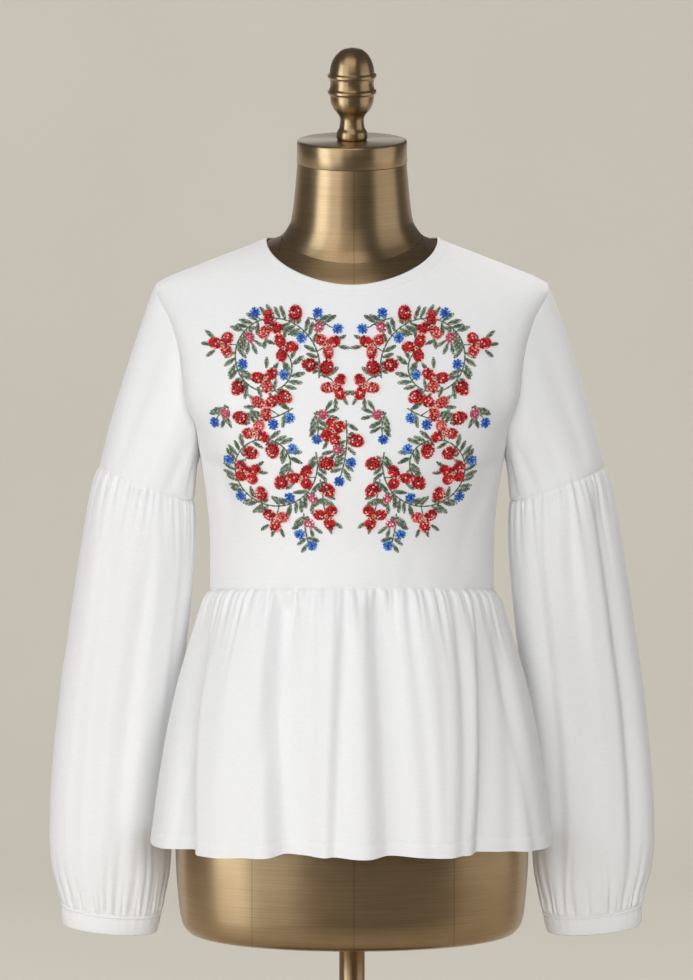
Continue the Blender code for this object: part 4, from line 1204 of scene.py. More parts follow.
def jersey():
    """White single jersey: fine wales of loops, a soft mottle and a little sheen."""
    made, tree, shader = new_material("white_jersey")
    places = add(tree, "UVMap")
    places.uv_map = "cloth"
    split = add(tree, "SeparateXYZ")
    join(tree, places.outputs["UV"], split.inputs["Vector"])
    wale = sums(tree, "DIVIDE", split.outputs["X"], WALE)
    course = sums(tree, "DIVIDE", split.outputs["Y"], COURSE)
    arm = sums(tree, "ABSOLUTE", sums(tree, "SUBTRACT", sums(tree, "FRACT", wale), 0.5))
    rib = sums(tree, "COSINE", sums(tree, "MULTIPLY", sums(tree, "SUBTRACT", arm, 0.25), 2 * math.pi))
    loop = sums(tree, "SINE", sums(tree, "MULTIPLY", sums(tree, "ADD", course, arm), 2 * math.pi))
    knit = sums(tree, "ADD", sums(tree, "MULTIPLY", rib, 0.5), sums(tree, "MULTIPLY", loop, 0.3))
    slub = scaled_noise(tree, places.outputs["UV"], (0.22, 1, 1), 620, 4)
    drift = scaled_noise(tree, places.outputs["UV"], (1, 0.4, 1), 45, 2)
    soft = relief(tree, sums(tree, "ADD", slub, drift), shader, 0.10, 0.0005)
    relief(tree, knit, soft, 0.10, 0.00012)
    join(tree, ramp(tree, slub, JERSEY_TONES), shader.inputs["Base Color"])
    set_inputs(shader, Roughness=0.9, Specular_IOR_Level=0.25, Sheen_Weight=0.12, Sheen_Roughness=0.5)
    return made


# Brass: its dark and light tones, how fine the brushing is, the range of its roughness and how dark the
# form's seams are
Brass = namedtuple("Brass", "name dark light streak smooth rough seam_tone")
BRUSHED_BRASS = Brass("brushed_brass", (0.30, 0.192, 0.094), (0.50, 0.345, 0.185), 160, 0.28, 0.39, 0.75)
TURNED_BRASS = Brass("turned_brass", (0.31, 0.200, 0.098), (0.51, 0.355, 0.190), 200, 0.25, 0.36, 0.0)
SEAM_BRASS = Brass("seam_brass", (0.13, 0.085, 0.045), (0.24, 0.16, 0.085), 200, 0.45, 0.55, 0.0)
SEAM_COLOUR = (0.10, 0.065, 0.035, 1)


def brass(kind):
    """Antique brass with fine lines brushed round it."""
    made, tree, shader = new_material(kind.name)
    space = add(tree, "TexCoord").outputs["Object"]
    lines = scaled_noise(tree, space, (1, 1, kind.streak), 14, 5)
    patches = scaled_noise(tree, space, (1, 1, 2.2), 7, 4)
    both = sums(tree, "ADD", sums(tree, "MULTIPLY", lines, 0.55), sums(tree, "MULTIPLY", patches, 0.45))
    split = add(tree, "SeparateXYZ")
    join(tree, space, split.inputs["Vector"])
    seams = 0.0
    for seam in FORM_SEAMS:
        off = sums(tree, "ABSOLUTE", sums(tree, "SUBTRACT", split.outputs["X"], seam.x))
        far = sums(tree, "MINIMUM", sums(tree, "DIVIDE", off, FORM_SEAM_WIDTH), 1.0)
        below_top = sums(tree, "LESS_THAN", split.outputs["Z"], seam.top)
        near = sums(tree, "MULTIPLY", sums(tree, "SUBTRACT", 1.0, far), below_top)
        seams = sums(tree, "ADD", seams, near)
    shaded = add(tree, "Mix")
    shaded.data_type = "RGBA"
    join(tree, sums(tree, "MULTIPLY", seams, kind.seam_tone), shaded.inputs[0])
    join(tree, ramp(tree, both, ((0.32, kind.dark), (0.68, kind.light))), shaded.inputs[6])
    shaded.inputs[7].default_value = SEAM_COLOUR
    join(tree, shaded.outputs[2], shader.inputs["Base Color"])
    spread = add(tree, "MapRange", From_Min=0.3, From_Max=0.7, To_Min=kind.smooth, To_Max=kind.rough)
    join(tree, both, spread.inputs["Value"])
    join(tree, spread.outputs["Result"], shader.inputs["Roughness"])
    relief(tree, lines, shader, 0.08, 0.0003)
    tangent = add(tree, "Tangent")
    tangent.direction_type = "RADIAL"
    tangent.axis = "Z"
    join(tree, tangent.outputs["Tangent"], shader.inputs["Tangent"])
    set_inputs(shader, Metallic=1.0, Anisotropic=0.65, Anisotropic_Rotation=0.25)
    set_inputs(shader, Coat_Weight=0.40, Coat_Roughness=0.30)
    return made


# Threads and beads: the darkest, middle and lightest shade of each, and its roughness
Thread = namedtuple("Thread", "name dark middle light roughness")
WHITE_THREAD = Thread("white_thread", (0.62, 0.62, 0.62), (0.80, 0.80, 0.81), (0.88, 0.88, 0.88), 0.7)
# The lightest shades of the red and pink beads are the colour of their painted highlights
RED = Thread("red_beads", (0.12, 0.003, 0.005), (0.66, 0.016, 0.018), (0.94, 0.42, 0.36), 0.28)
PINK = Thread("pink_beads", (0.34, 0.05, 0.09), (0.72, 0.22, 0.28), (0.94, 0.66, 0.68), 0.35)
BLUE = Thread("blue_beads", (0.01, 0.03, 0.16), (0.02, 0.13, 0.56), (0.20, 0.48, 0.88), 0.4)
GREEN = Thread("green_thread", (0.035, 0.05, 0.035), (0.13, 0.17, 0.11), (0.42, 0.47, 0.36), 0.55)
CREAM = Thread("cream_beads", (0.35, 0.22, 0.12), (0.62, 0.48, 0.36), (0.85, 0.78, 0.66), 0.35)


def thread(kind):
    """Beads and stitches, each with a shade of its own, which the mesh keeps."""
    made, tree, shader = new_material(kind.name)
    shade = add(tree, "Attribute")
    shade.attribute_name = "shade"
    twist = scaled_noise(tree, add(tree, "TexCoord").outputs["Object"], (1, 1, 1), 900, 2)
    uneven = sums(tree, "MULTIPLY", sums(tree, "SUBTRACT", twist, 0.5), 0.35)
    tones = ((0.0, kind.dark), (0.5, kind.middle), (1.0, kind.light))
    tint = ramp(tree, sums(tree, "ADD", shade.outputs["Fac"], uneven), tones)
    join(tree, tint, shader.inputs["Base Color"])
    relief(tree, twist, shader, 0.3, 0.0002)
    set_inputs(shader, Roughness=kind.roughness)
    return made


# Embroidery: every bead and stitch is a small rounded grain laid on the front of the bodice. One half is
# laid out by rule along winding stems and then mirrored

Grain = namedtuple("Grain", "x z turn length width height lift shade")
Scroll = namedtuple("Scroll", "x z radius end_radius start turn kinds")
Sprig = namedtuple("Sprig", "x z start length bend kinds")
Motif = namedtuple("Motif", "kind x z foot_x foot_z")
MIDDLE_X = -0.002
SURFACE_STEP = 0.001
MOTIF_RADIUS = {"berry": 0.0088, "flower": 0.0126, "pink": 0.0068, "floret": 0.0056}
MOTIF_LIMITS = ((0.0010, 0.1400), (0.4100, 0.6620))
MOTIF_LEAN = 70
STALK_GAP = 0.0015
SPACING_PASSES = 160
SPACING_PULL = 0.25

# Random values: the least and how much more there can be
Range = namedtuple("Range", "least more")

# Beads: a pick of 0 to 1 over the first limit gives a painted highlight, and one under the second gives a
# painted shadow
BEAD_PITCH = 0.0025
PAINTED_HIGHLIGHT_OVER = 0.78
PAINTED_HIGHLIGHT_SHADE = 0.95
PAINTED_SHADOW_UNDER = 0.18
PAINTED_SHADOW_SHADE = 0.15
BEAD_SHADE = Range(0.36, 0.24)
BEAD_SIZE = Range(0.90, 0.12)
BEAD_TURN = 0.12
BEAD_LENGTH = 1.05
BEAD_LIFT = 0.0003
GROUND_SHARE = 0.95
FOOT_SHADE = 0.22
FOOT_START = 0.35
Cluster = namedtuple("Cluster", "length width dome taper")
BERRY = Cluster(0.0166, 0.0142, 0.0050, 0.22)
PINK_BERRY = Cluster(0.0126, 0.0112, 0.0032, 0.15)
PETAL = Cluster(0.0154, 0.0112, 0.0040, -0.16)
BERRY_TONE = 0.06
PALE_PETALS_OVER = 0.80
PALE_PETAL_TONE = 0.18
THREE_PETALS_UNDER = 0.75
PETAL_TURN = 0.45
PETAL_LENGTH = Range(0.90, 0.20)
PETAL_LAP = 0.0006

# Leaves at a motif's foot: which side each is on, and its place, turn and size
Sepals = namedtuple("Sepals", "sides at beside turn length width")
BERRY_SEPALS = Sepals((-1, 0, 1), -0.0096, 0.0022, 0.75, 0.0058, 0.0034)
PINK_SEPALS = Sepals((-1, 1), -0.0066, 0.0020, 0.80, 0.0042, 0.0024)

# Stitches: a floret's two rings, and a leaf's slanted threads and vein
Petals = namedtuple("Petals", "count reach length lift")
FLORET_RINGS = (Petals(10, 0.0044, 0.0026, 0.0007), Petals(6, 0.0024, 0.0025, 0.0012))
FLORET_GROUND = 0.0098
FLORET_TONE = Range(0.20, 0.30)
FLORET_REACH = Range(0.9, 0.2)
FLORET_TURN = 0.3
FLORET_SHADES = 0.50
HEART_BEADS = 6
HEART_RADIUS = 0.0016
LEAF_PITCH = 0.0056
LEAF_LENGTH = 0.0130
LEAF_WIDTH_SHARE = 0.36
LEAF_GAP = 0.0034
LEAF_CLEARANCE = 0.80
LEAF_FAN = 0.62
LEAF_STITCH = 0.0016
LEAF_SLANT = 38
LEAF_TONE = Range(0.15, 0.10)
LEAF_SHADES = 0.75
LEAF_WIDEST = 0.85
LEAF_FULLNESS = 0.7
LEAF_EDGE = Range(0.80, 0.40)
LEAF_THREAD_REACH = 1.5
LEAF_THREAD_LAP = 0.0010
VEIN_PLACE = 0.46
VEIN_LENGTH = 0.86
STEM_STITCH = 0.0021
STEM_THREAD = 0.0036
STEM_LEAN = 0.18
STEM_WIDTH = 0.0018
STALK_WIDTH = 0.0014
BEAD_BALL = (8, 4)
THREAD_BALL = (6, 3)
PLAN_SEEDS = {"half": 11, "middle": 5}
SCROLLS = (
    Scroll(
        0.0790, 0.5990, 0.0500, 0.0190, 196, -400,
        ("berry", "flower", "floret", "berry", "flower", "floret", "pink", "flower", "floret", "berry",
         "flower", "berry", "floret", "flower"),
    ),
    Scroll(
        0.0800, 0.4960, 0.0490, 0.0190, 160, 400,
        ("berry", "flower", "pink", "floret", "flower", "berry", "floret", "flower", "floret", "berry",
         "flower", "berry", "floret", "berry"),
    ),
)
SPRIGS = (
    Sprig(0.0460, 0.4500, -92, 0.0380, -15, ("pink", "floret", "floret")),
    Sprig(0.0400, 0.6420, 188, 0.0220, 25, ("floret", "pink", "floret")),
    Sprig(0.0320, 0.5880, 186, 0.0140, 20, ("berry", "flower")),
    Sprig(0.0360, 0.5520, -120, 0.0200, 35, ("pink", "floret")),
    Sprig(0.1240, 0.5560, -70, 0.0160, 20, ("pink", "floret")),
    Sprig(0.0560, 0.5560, -35, 0.0420, 30, ("floret", "flower", "floret", "berry")),
    Sprig(0.0300, 0.4860, -105, 0.0260, 15, ("berry", "flower")),
)
MIDDLE_SPRIG = Sprig(-0.0040, 0.5460, -84, 0.0560, -22, ("flower", "berry", "pink", "floret", "floret"))


def front_surface(x, z):
    """Points on the front bodice and the directions across it, up it and out of it."""

    def place(px, pz):
        return np.stack([px, body_y(BODICE, px, pz, -1), pz], axis=-1)

    across = unit(place(x + SURFACE_STEP, z) - place(x - SURFACE_STEP, z))
    up = unit(place(x, z + SURFACE_STEP) - place(x, z - SURFACE_STEP))
    out = unit(np.cross(across, up))
    here = place(x, z) - crease_depth(x, z, BODICE_CREASES[-1])[..., None] * out
    return here, across, np.cross(out, across), out


def ball(segments, rings):
    """Points and three-sided faces of a small ball."""
    shape = bmesh.new()
    bmesh.ops.create_uvsphere(shape, u_segments=segments, v_segments=rings, radius=1.0)
    bmesh.ops.triangulate(shape, faces=shape.faces)
    points = np.array([v.co[:] for v in shape.verts])
    faces = np.array([[v.index for v in f.verts] for f in shape.faces])
    shape.free()
    return points, faces


def grain_piece(name, here, ways, sizes, shade, template, cover):
    """One piece made of many grains, each a ball stretched along three directions."""
    points, faces = template
    spread = sum(
        way[:, None] * points[None, :, k, None] * sizes[:, None, k, None] / 2 for k, way in enumerate(ways)
    )
    every = (faces[None] + np.arange(len(here))[:, None, None] * len(points)).reshape(-1, 3)
    places = (here[:, None] + spread).reshape(-1, 3) + (0, 0, UNDERSIDE_Z)
    made = bpy.data.meshes.new(name)
    made.from_pydata(places.tolist(), [], every.tolist())
    layer = made.attributes.new("shade", "FLOAT", "POINT")
    layer.data.foreach_set("value", np.repeat(shade, len(points)).astype(np.float32))
    made.shade_smooth()
    return new_piece(name, made, cover)


def lay_grains(name, grains, template, cover):
    """A piece from the grains that lie on the front of the bodice."""
    x, z, turn, length, width, height, lift, shade = np.array(grains, float).T
    here, across, up, out = front_surface(x, z)
    along = across * np.cos(turn)[:, None] + up * np.sin(turn)[:, None]
    sizes = np.stack([length, width, height], axis=1)
    here = here + out * lift[:, None]
    return grain_piece(name, here, (along, np.cross(out, along), out), sizes, shade, template, cover)


def placed(x, z, turn, along, beside):
    """A place along and beside a direction, from a point."""
    return (
        x + along * math.cos(turn) - beside * math.sin(turn),
        z + along * math.sin(turn) + beside * math.cos(turn),
    )


def picked(kind, chance):
    """A random value in a range."""
    return kind.least + kind.more * chance.random()


def bead_shade(chance):
    """A bead's shade: now and then a painted highlight or a painted shadow, and otherwise a middle tone."""
    pick = chance.random()
    if pick > PAINTED_HIGHLIGHT_OVER:
        return PAINTED_HIGHLIGHT_SHADE
    if pick < PAINTED_SHADOW_UNDER:
        return PAINTED_SHADOW_SHADE
    return BEAD_SHADE.least + BEAD_SHADE.more * pick


def bead_cluster(target, x, z, turn, cluster, chance, tone=0.0):
    """Beads in rings inside an oval on a dark ground, narrower towards its tip and darker at its foot."""
    length, width, dome, taper = cluster
    target.append(Grain(x, z, turn, length * GROUND_SHARE, width * GROUND_SHARE, dome, 0.0, 0.0))
    rings = max(2, round((length + width) / 4 / BEAD_PITCH))
    for ring in range(rings):
        radius = (ring + 0.5) / rings
        count = max(1, round(2 * math.pi * radius * rings))
        for k in range(count):
            angle = 2 * math.pi * (k + 0.5 * (ring % 2)) / count + BEAD_TURN * (chance.random() - 0.5)
            along = radius * math.cos(angle)
            beside = radius * math.sin(angle) * (1 - taper * along)
            bx, bz = placed(x, z, turn, along * length / 2, beside * width / 2)
            shade = bead_shade(chance) + tone - FOOT_SHADE * max(0.0, -FOOT_START - along)
            size = BEAD_PITCH * picked(BEAD_SIZE, chance)
            lift = dome / 2 * math.sqrt(1 - radius**2) + BEAD_LIFT
            target.append(Grain(bx, bz, turn, size * BEAD_LENGTH, size, size, lift, shade))


def leaf(grains, x, z, turn, length, width, chance):
    """A pointed leaf in satin stitch: slanted threads of mixed shades each side of a middle vein."""
    count = max(3, int(length / LEAF_STITCH))
    tone = picked(LEAF_TONE, chance)
    for k in range(count):
        at = (k + 0.5) / count
        full = math.sin(math.pi * at**LEAF_WIDEST) ** LEAF_FULLNESS
        half = width / 2 * full * picked(LEAF_EDGE, chance)
        for side in (-1, 1):
            mx, mz = placed(x, z, turn, at * length, side * half / 2)
            shade = tone + LEAF_SHADES * chance.random()
            slant = turn + side * math.radians(LEAF_SLANT)
            reach = half * LEAF_THREAD_REACH + LEAF_THREAD_LAP
            grains["leaves"].append(Grain(mx, mz, slant, reach, 0.0017, 0.0014, 0.0004, shade))
    mx, mz = placed(x, z, turn, length * VEIN_PLACE, 0)
    grains["leaves"].append(Grain(mx, mz, turn, length * VEIN_LENGTH, 0.0008, 0.0014, 0.0006, 0.0))


def sepals(grains, x, z, turn, row, chance):
    """Small leaves at the foot of a berry."""
    for side in row.sides:
        sx, sz = placed(x, z, turn, row.at, side * row.beside)
        leaf(grains, sx, sz, turn + side * row.turn, row.length, row.width, chance)


def stitched_line(grains, points, width=STEM_WIDTH):
    """A line of overlapping stem stitches."""
    points = np.asarray(points, float)
    length = travelled(points)[-1]
    count = max(1, int(length / STEM_STITCH))
    for k in range(count):
        x, z, turn = path_frame(points, (k + 0.5) * length / count, 0.0005)
        shade = 0.40 + 0.35 * math.sin(k * 2.4)
        grains["stems"].append(Grain(x, z, turn + STEM_LEAN, STEM_THREAD, width, 0.0014, 0.0004, shade))


def berry(grains, x, z, turn, chance):
    bead_cluster(grains["berries"], x, z, turn, BERRY, chance, BERRY_TONE * chance.random())
    sepals(grains, x, z, turn, BERRY_SEPALS, chance)


def pink(grains, x, z, turn, chance):
    bead_cluster(grains["pinks"], x, z, turn, PINK_BERRY, chance)
    sepals(grains, x, z, turn, PINK_SEPALS, chance)


def flower(grains, x, z, turn, chance):
    """Three or four beaded petals round a heart of pale beads."""
    petals = 3 if chance.random() < THREE_PETALS_UNDER else 4
    for k in range(petals):
        lean = turn + k * 2 * math.pi / petals + PETAL_TURN * (chance.random() - 0.5)
        petal = PETAL._replace(length=PETAL.length * picked(PETAL_LENGTH, chance))
        px, pz = placed(x, z, lean, petal.length / 2 - PETAL_LAP, 0)
        tone = PALE_PETAL_TONE if chance.random() > PALE_PETALS_OVER else 0.0
        bead_cluster(grains["flowers"], px, pz, lean, petal, chance, tone)
    for k in range(HEART_BEADS):
        cx, cz = placed(x, z, k * 2 * math.pi / HEART_BEADS, HEART_RADIUS, 0)
        grains["hearts"].append(Grain(cx, cz, 0.0, 0.0017, 0.0015, 0.0016, 0.0026, chance.random()))


def floret(grains, x, z, turn, chance):
    """A small ragged floret: short petals of thread round a dark middle."""
    tone = picked(FLORET_TONE, chance)
    grains["florets"].append(Grain(x, z, turn, FLORET_GROUND, FLORET_GROUND, 0.0016, 0.0002, 0.10))
    for ring, petals in enumerate(FLORET_RINGS):
        for k in range(petals.count):
            lean = turn + (k + 0.5 * ring) * 2 * math.pi / petals.count + FLORET_TURN * chance.random()
            px, pz = placed(x, z, lean, petals.reach * picked(FLORET_REACH, chance), 0)
            shade = tone + FLORET_SHADES * chance.random()
            grains["florets"].append(Grain(px, pz, lean, petals.length, 0.0026, 0.0022, petals.lift, shade))


MOTIF_MAKER = {"berry": berry, "flower": flower, "pink": pink, "floret": floret}


def scroll_path(scroll):
    share = np.linspace(0, 1, 120)
    radius = scroll.radius + (scroll.end_radius - scroll.radius) * share
    angle = np.radians(scroll.start + scroll.turn * share)
    return np.stack([scroll.x + radius * np.cos(angle), scroll.z + radius * np.sin(angle)], axis=1)


def sprig_path(sprig):
    share = np.linspace(0, 1, 40)
    angle = np.radians(sprig.start + sprig.bend * share)
    step = sprig.length / len(share)
    return np.stack(
        [sprig.x + step * np.cumsum(np.cos(angle)), sprig.z + step * np.cumsum(np.sin(angle))], axis=1
    )


def path_frame(path, at, step=0.001):
    """Place and direction at a distance along a path."""
    gone = travelled(path)
    (x, x_before, x_after), (z, z_before, z_after) = (
        np.interp((at, at - step, at + step), gone, path[:, k]).tolist() for k in (0, 1)
    )
    return x, z, math.atan2(z_after - z_before, x_after - x_before)


def motifs_on(path, kinds):
    """Motifs on both sides of a stem in turn, and the last one at its tip."""
    found = []
    length = travelled(path)[-1]
    for k, kind in enumerate(kinds):
        tip = k == len(kinds) - 1
        at = length if tip else length * (k + 0.5) / len(kinds)
        x, z, way = path_frame(path, at)
        lean = way if tip else way + (1 if k % 2 else -1) * math.radians(MOTIF_LEAN)
        mx, mz = placed(x, z, lean, MOTIF_RADIUS[kind] + STALK_GAP, 0)
        found.append(Motif(kind, mx, mz, x, z))
    return found


def spaced(motifs, fixed):
    """Motifs moved apart, step by step, until none lies on another or on a fixed one."""
    count = len(motifs)
    everything = motifs + fixed
    places = np.array([[m.x, m.z] for m in everything])
    radius = np.array([MOTIF_RADIUS[m.kind] for m in everything])
    for _ in range(SPACING_PASSES):
        off = places[:, None] - places[None]
        apart = np.linalg.norm(off, axis=2) + np.eye(len(places))
        short = np.clip(radius[:, None] + radius[None] - apart, 0, None) * (1 - np.eye(len(places)))
        places[:count] += SPACING_PULL * (off / apart[..., None] * short[..., None]).sum(axis=1)[:count]
        for axis, (low, high) in enumerate(MOTIF_LIMITS):
            places[:count, axis] = np.clip(places[:count, axis], low + radius[:count], high - radius[:count])
    return [m._replace(x=float(p[0]), z=float(p[1])) for m, p in zip(motifs, places)]


def lay_leaves(grains, paths, motifs, chance):
    """Leaves along the stems and beyond the motifs, wherever there is room for them."""
    centres = np.array([[m.x, m.z] for m in motifs])
    keep_off = np.array([MOTIF_RADIUS[m.kind] * LEAF_CLEARANCE for m in motifs])
    laid = [(9.0, 9.0)]

    def try_leaf(x, z, turn, length):
        middle, tip = placed(x, z, turn, length * 0.55, 0), placed(x, z, turn, length, 0)
        for spot in (middle, tip):
            if np.any(np.linalg.norm(centres - spot, axis=1) < keep_off):
                return
        if np.min(np.linalg.norm(np.array(laid) - middle, axis=1)) < LEAF_GAP:
            return
        laid.append(middle)
        leaf(grains, x, z, turn, length, length * LEAF_WIDTH_SHARE, chance)

    for m in motifs:
        if m.kind in ("berry", "floret"):
            continue
        away = math.atan2(m.z - m.foot_z, m.x - m.foot_x)
        for k in (-1, 0, 1):
            lean = away + k * LEAF_FAN
            sx, sz = placed(m.x, m.z, lean, MOTIF_RADIUS[m.kind] * LEAF_CLEARANCE, 0)
            try_leaf(sx, sz, lean, LEAF_LENGTH * (0.75 + 0.15 * chance.random()))
    for path in paths:
        length = travelled(path)[-1]
        for k in range(int(length / LEAF_PITCH)):
            x, z, way = path_frame(path, (k + 0.5) * LEAF_PITCH)
            for side in (-1, 1):
                lean = way + side * math.radians(42 + 20 * chance.random())
                sx, sz = placed(x, z, lean, 0.0012, 0)
                try_leaf(sx, sz, lean, LEAF_LENGTH * (0.85 + 0.25 * chance.random()))


def lay_plan(paths, motifs, seed):
    """The grains of one plan: its stems, its motifs on their stalks, and its leaves."""
    grains = {key: [] for key in ("berries", "flowers", "hearts", "pinks", "florets", "leaves", "stems")}
    chance = np.random.default_rng(seed)
    for path in paths:
        stitched_line(grains, path)
    for m in motifs:
        stitched_line(grains, [(m.foot_x, m.foot_z), (m.x, m.z)], STALK_WIDTH)
        turn = math.atan2(m.z - m.foot_z, m.x - m.foot_x)
        MOTIF_MAKER[m.kind](grains, m.x, m.z, turn, chance)
    lay_leaves(grains, paths, motifs, chance)
    return grains


# The embroidery's pieces: kind of grain, its ball, its material and its slot
Layer = namedtuple("Layer", "piece key template thread slot")
LAYERS = (
    Layer("embroidery_red_berries", "berries", BEAD_BALL, RED, "red_beads"),
    Layer("embroidery_red_flowers", "flowers", BEAD_BALL, RED, "red_beads"),
    Layer("embroidery_flower_hearts", "hearts", BEAD_BALL, CREAM, "pink_beads"),
    Layer("embroidery_pink_berries", "pinks", BEAD_BALL, PINK, "pink_beads"),
    Layer("embroidery_blue_florets", "florets", THREAD_BALL, BLUE, "blue_beads"),
    Layer("embroidery_leaves", "leaves", THREAD_BALL, GREEN, "green_thread"),
    Layer("embroidery_stems", "stems", THREAD_BALL, GREEN, "green_thread"),
)


def embroidery():
    """All the embroidery's pieces: the plan of one half, its mirror image, and the sprig in the middle."""
    middle_path = sprig_path(MIDDLE_SPRIG)
    middle_motifs = motifs_on(middle_path, MIDDLE_SPRIG.kinds)
    middle = lay_plan([middle_path], middle_motifs, PLAN_SEEDS["middle"])
    paths = [scroll_path(scroll) for scroll in SCROLLS] + [sprig_path(sprig) for sprig in SPRIGS]
    motifs = [m for path, plan in zip(paths, SCROLLS + SPRIGS) for m in motifs_on(path, plan.kinds)]
    held = middle_motifs + [m._replace(x=-m.x) for m in middle_motifs]
    half = lay_plan(paths, spaced(motifs, held), PLAN_SEEDS["half"])
    covers = {kind: thread(kind) for kind in (RED, PINK, BLUE, GREEN, CREAM)}
    balls = {size: ball(*size) for size in (BEAD_BALL, THREAD_BALL)}
    laid = []
    for row in LAYERS:
        grains = [g._replace(x=MIDDLE_X + g.x) for g in half[row.key] + middle[row.key]]
        grains += [g._replace(x=MIDDLE_X - g.x, turn=math.pi - g.turn) for g in half[row.key]]
        laid.append(lay_grains(row.piece, grains, balls[row.template], covers[row.thread]))
    return laid


# Rows of small stitches along seams and hems


def stitch_row(name, line, out, sizes, pitch, cover):
    """A row of stitches laid along a line of points, with the directions out of the cloth there."""
    gone = travelled(line)
    count = int(gone[-1] / pitch)
    at = (np.arange(count) + 0.5) * gone[-1] / count

    def read(values, places):
        return np.stack([np.interp(places, gone, values[:, k]) for k in range(3)], axis=1)

    start = read(line, np.maximum(at - pitch / 2, 0))
    end = read(line, np.minimum(at + pitch / 2, gone[-1]))
    along = unit(end - start)
    beside = unit(np.cross(unit(read(out, at)), along))
    ways = (along, beside, np.cross(along, beside))
    size = np.broadcast_to(sizes, (count, 3))
    shade = 0.5 + 0.3 * wander(count, 1.0)
    return grain_piece(name, read(line, at), ways, size, shade, ball(*THREAD_BALL), cover)


# Sheets: the fields of a row for what a piece was cut to, as width across and length down it in metres, area
# in square metres, held and rests_on. No rows are given

Sheet = namedtuple("Sheet", "piece width length area held rests_on")


# Room

SWEEP_HALF_WIDTH = 5.0
SWEEP_FRONT_Y = -0.7
SWEEP_BEND_Y = 1.6
SWEEP_RADIUS = 1.2
SWEEP_TURN = 1.26
SWEEP_STEPS = 25
PAPER_TONES = ((0.3, (0.640, 0.600, 0.535)), (0.7, (0.656, 0.616, 0.551)))


def room():
    """A seamless sweep of pale paper: a floor that curves up behind, no higher than the camera needs."""
    turn = np.linspace(0, SWEEP_TURN, SWEEP_STEPS)
    ys = [SWEEP_FRONT_Y, *(SWEEP_BEND_Y + SWEEP_RADIUS * np.sin(turn))]
    zs = [0.0, *(SWEEP_RADIUS - SWEEP_RADIUS * np.cos(turn))]
    shape = bmesh.new()
    edges = (-SWEEP_HALF_WIDTH, SWEEP_HALF_WIDTH)
    rows = [[shape.verts.new((x, y, z)) for x in edges] for y, z in zip(ys, zs)]
    for lower, upper in zip(rows, rows[1:]):
        shape.faces.new((lower[0], lower[1], upper[1], upper[0]))
    made = bpy.data.meshes.new("sweep")
    shape.to_mesh(made)
    shape.free()
    made.shade_smooth()
    floor = bpy.data.objects.new("sweep", made)
    bpy.context.scene.collection.objects.link(floor)
    cover, tree, shader = new_material("paper")
    grain = scaled_noise(tree, add(tree, "TexCoord").outputs["Object"], (1, 1, 1), 3, 2)
    join(tree, ramp(tree, grain, PAPER_TONES), shader.inputs["Base Color"])
    set_inputs(shader, Roughness=1.0)
    made.materials.append(cover)


# Soft lights: each lights either the cloth or, as a panel beside the form, the shine of its brass
NEUTRAL = (1.0, 0.995, 0.985)
WARM = (1.0, 0.97, 0.92)
COOL = (0.88, 0.95, 1.0)
Light = namedtuple("Light", "name place aim size power colour lights_cloth")
LIGHTS = (
    Light("key", (-0.80, -2.9, 1.25), (0, 0, 0.7), (1.8, 1.4), 32, NEUTRAL, True),
    Light("fill", (0.80, -2.9, 1.1), (0, 0, 0.7), (1.2, 1.2), 36, NEUTRAL, True),
    Light("left_wash", (-2.3, -1.3, 1.1), (0, 0, 0.7), (1.4, 1.8), 24, NEUTRAL, True),
    Light("back_wash", (1.9, 2.6, 1.9), (0, 0, 0.6), (2.0, 1.4), 24, NEUTRAL, True),
    Light("left_strip", (-1.26, -0.72, 0.78), (0, 0, 0.70), (0.66, 1.9), 12, (0.84, 0.93, 1.0), False),
    Light("left_front_strip", (-0.84, -1.24, 0.85), (0, 0, 0.75), (0.62, 1.7), 4.4, COOL, False),
    Light("right_panel", (1.36, -0.40, 0.85), (0, 0, 0.75), (1.4, 1.6), 5, (0.94, 0.97, 1.0), False),
    Light("front_panel", (-0.8, -3.0, 1.2), (0, 0, 0.9), (1.4, 1.4), 2.8, WARM, False),
    Light("top_panel", (-0.4, -1.6, 2.6), (0, 0, 0.9), (2.4, 1.6), 14, WARM, False),
    Light("back_panel", (-0.5, 3.2, 1.65), (0, 0, 1.0), (1.6, 0.9), 3, WARM, False),
    Light("paper_wash", (-0.5, 0.7, 1.9), (-0.1, 1.7, 0.1), (3.6, 0.8), 33, (1.0, 0.98, 0.95), True),
)
WORLD_COLOUR = (0.95, 0.95, 0.96, 1)
WORLD_STRENGTH = 0.14


def lights():
    for row in LIGHTS:
        data = bpy.data.lights.new(row.name, "AREA")
        data.shape = "RECTANGLE"
        data.size, data.size_y = row.size
        data.energy = row.power
        data.color = row.colour
        made = bpy.data.objects.new(row.name, data)
        made.visible_glossy = not row.lights_cloth
        made.visible_diffuse = row.lights_cloth
        made.location = row.place
        made.rotation_euler = (Vector(row.aim) - Vector(row.place)).to_track_quat("-Z", "Y").to_euler()
        bpy.context.scene.collection.objects.link(made)
    world = bpy.data.worlds.new("room_light")
    world.use_nodes = True
    set_inputs(world.node_tree.nodes["Background"], Color=WORLD_COLOUR, Strength=WORLD_STRENGTH)
    bpy.context.scene.world = world


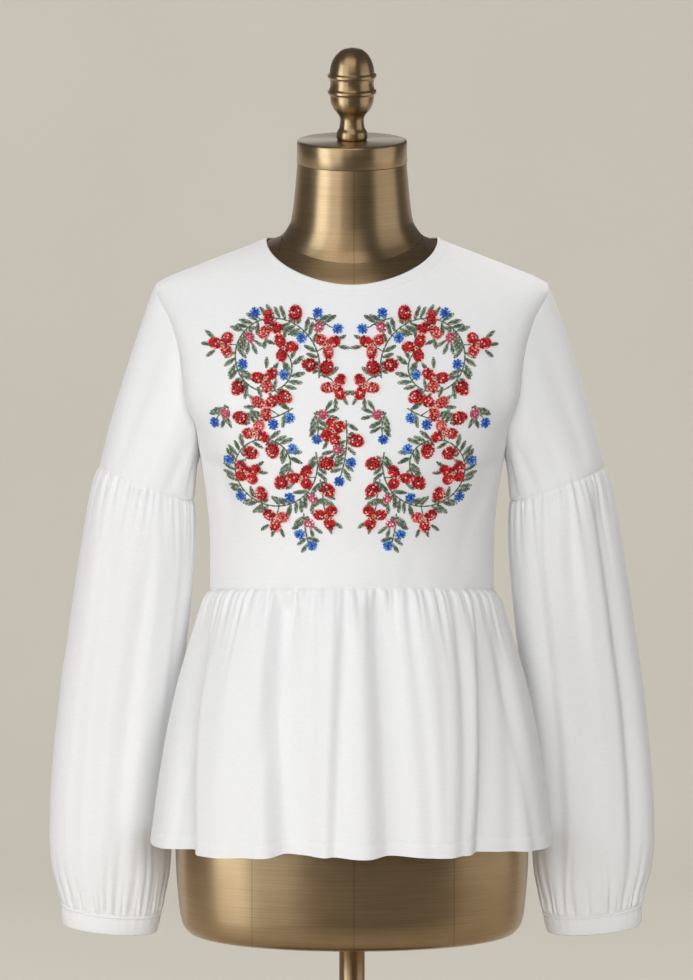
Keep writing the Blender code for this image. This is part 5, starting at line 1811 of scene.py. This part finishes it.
CAMERA_DISTANCE = 20.0
CAMERA_RISE = 9.5
FRAME_HEIGHT = 0.980
FRAME_CENTRE = (-0.0055, 0.0, 0.693)
SENSOR_WIDTH = 36


def camera():
    """A long lens from the front and a little above, as in the photograph."""
    data = bpy.data.cameras.new("camera")
    data.sensor_width = SENSOR_WIDTH
    data.lens = SENSOR_WIDTH * CAMERA_DISTANCE / FRAME_HEIGHT
    data.clip_start, data.clip_end = 1.0, 100.0
    made = bpy.data.objects.new("camera", data)
    rise = math.radians(CAMERA_RISE)
    back = Vector((0, -math.cos(rise), math.sin(rise)))
    made.location = Vector(FRAME_CENTRE) + back * CAMERA_DISTANCE
    made.rotation_euler = (-back).to_track_quat("-Z", "Y").to_euler()
    bpy.context.scene.collection.objects.link(made)
    bpy.context.scene.camera = made


def main():
    room()
    lights()
    camera()
    bpy.context.scene.view_settings.view_transform = "Standard"
    white = jersey()
    brushed = brass(BRUSHED_BRASS)
    lathe = brass(TURNED_BRASS)
    turned("finial", rounded_profile(FINIAL_PROFILE), NECK_CENTRE_Y, FINIAL_Z, lathe)
    turned("neck_cap", np.array(CAP_PROFILE), NECK_CENTRE_Y, 0, lathe)
    turned("stand_pole", np.array(POLE_PROFILE), 0, 0, lathe)
    turned("stand_foot", np.array(FOOT_PROFILE), 0, 0, lathe)
    line, out = form_torso(brushed)
    dark = brass(SEAM_BRASS)
    stitch_row("form_neck_seam", line, out, NECK_STITCH, NECK_STITCH_PITCH, dark)
    faces = (("front", -1), ("back", 1))
    for word, face in faces:
        bodice_panel("bodice_" + word, face, white)
    neckband(white)
    sewing = thread(WHITE_THREAD)
    for word, face in faces:
        name = "peplum_" + word
        line, out = peplum_panel(name, face, white)
        stitches = stitch_row(name + "_stitches", line, out, STITCH, STITCH_PITCH, sewing)
    for word, side in (("right", -1), ("left", 1)):
        upper_sleeve("upper_sleeve_" + word, side, white)
        balloon_sleeve("balloon_sleeve_" + word, side, white)
        cuff("cuff_" + word, side, white)
    embroidery()


main()
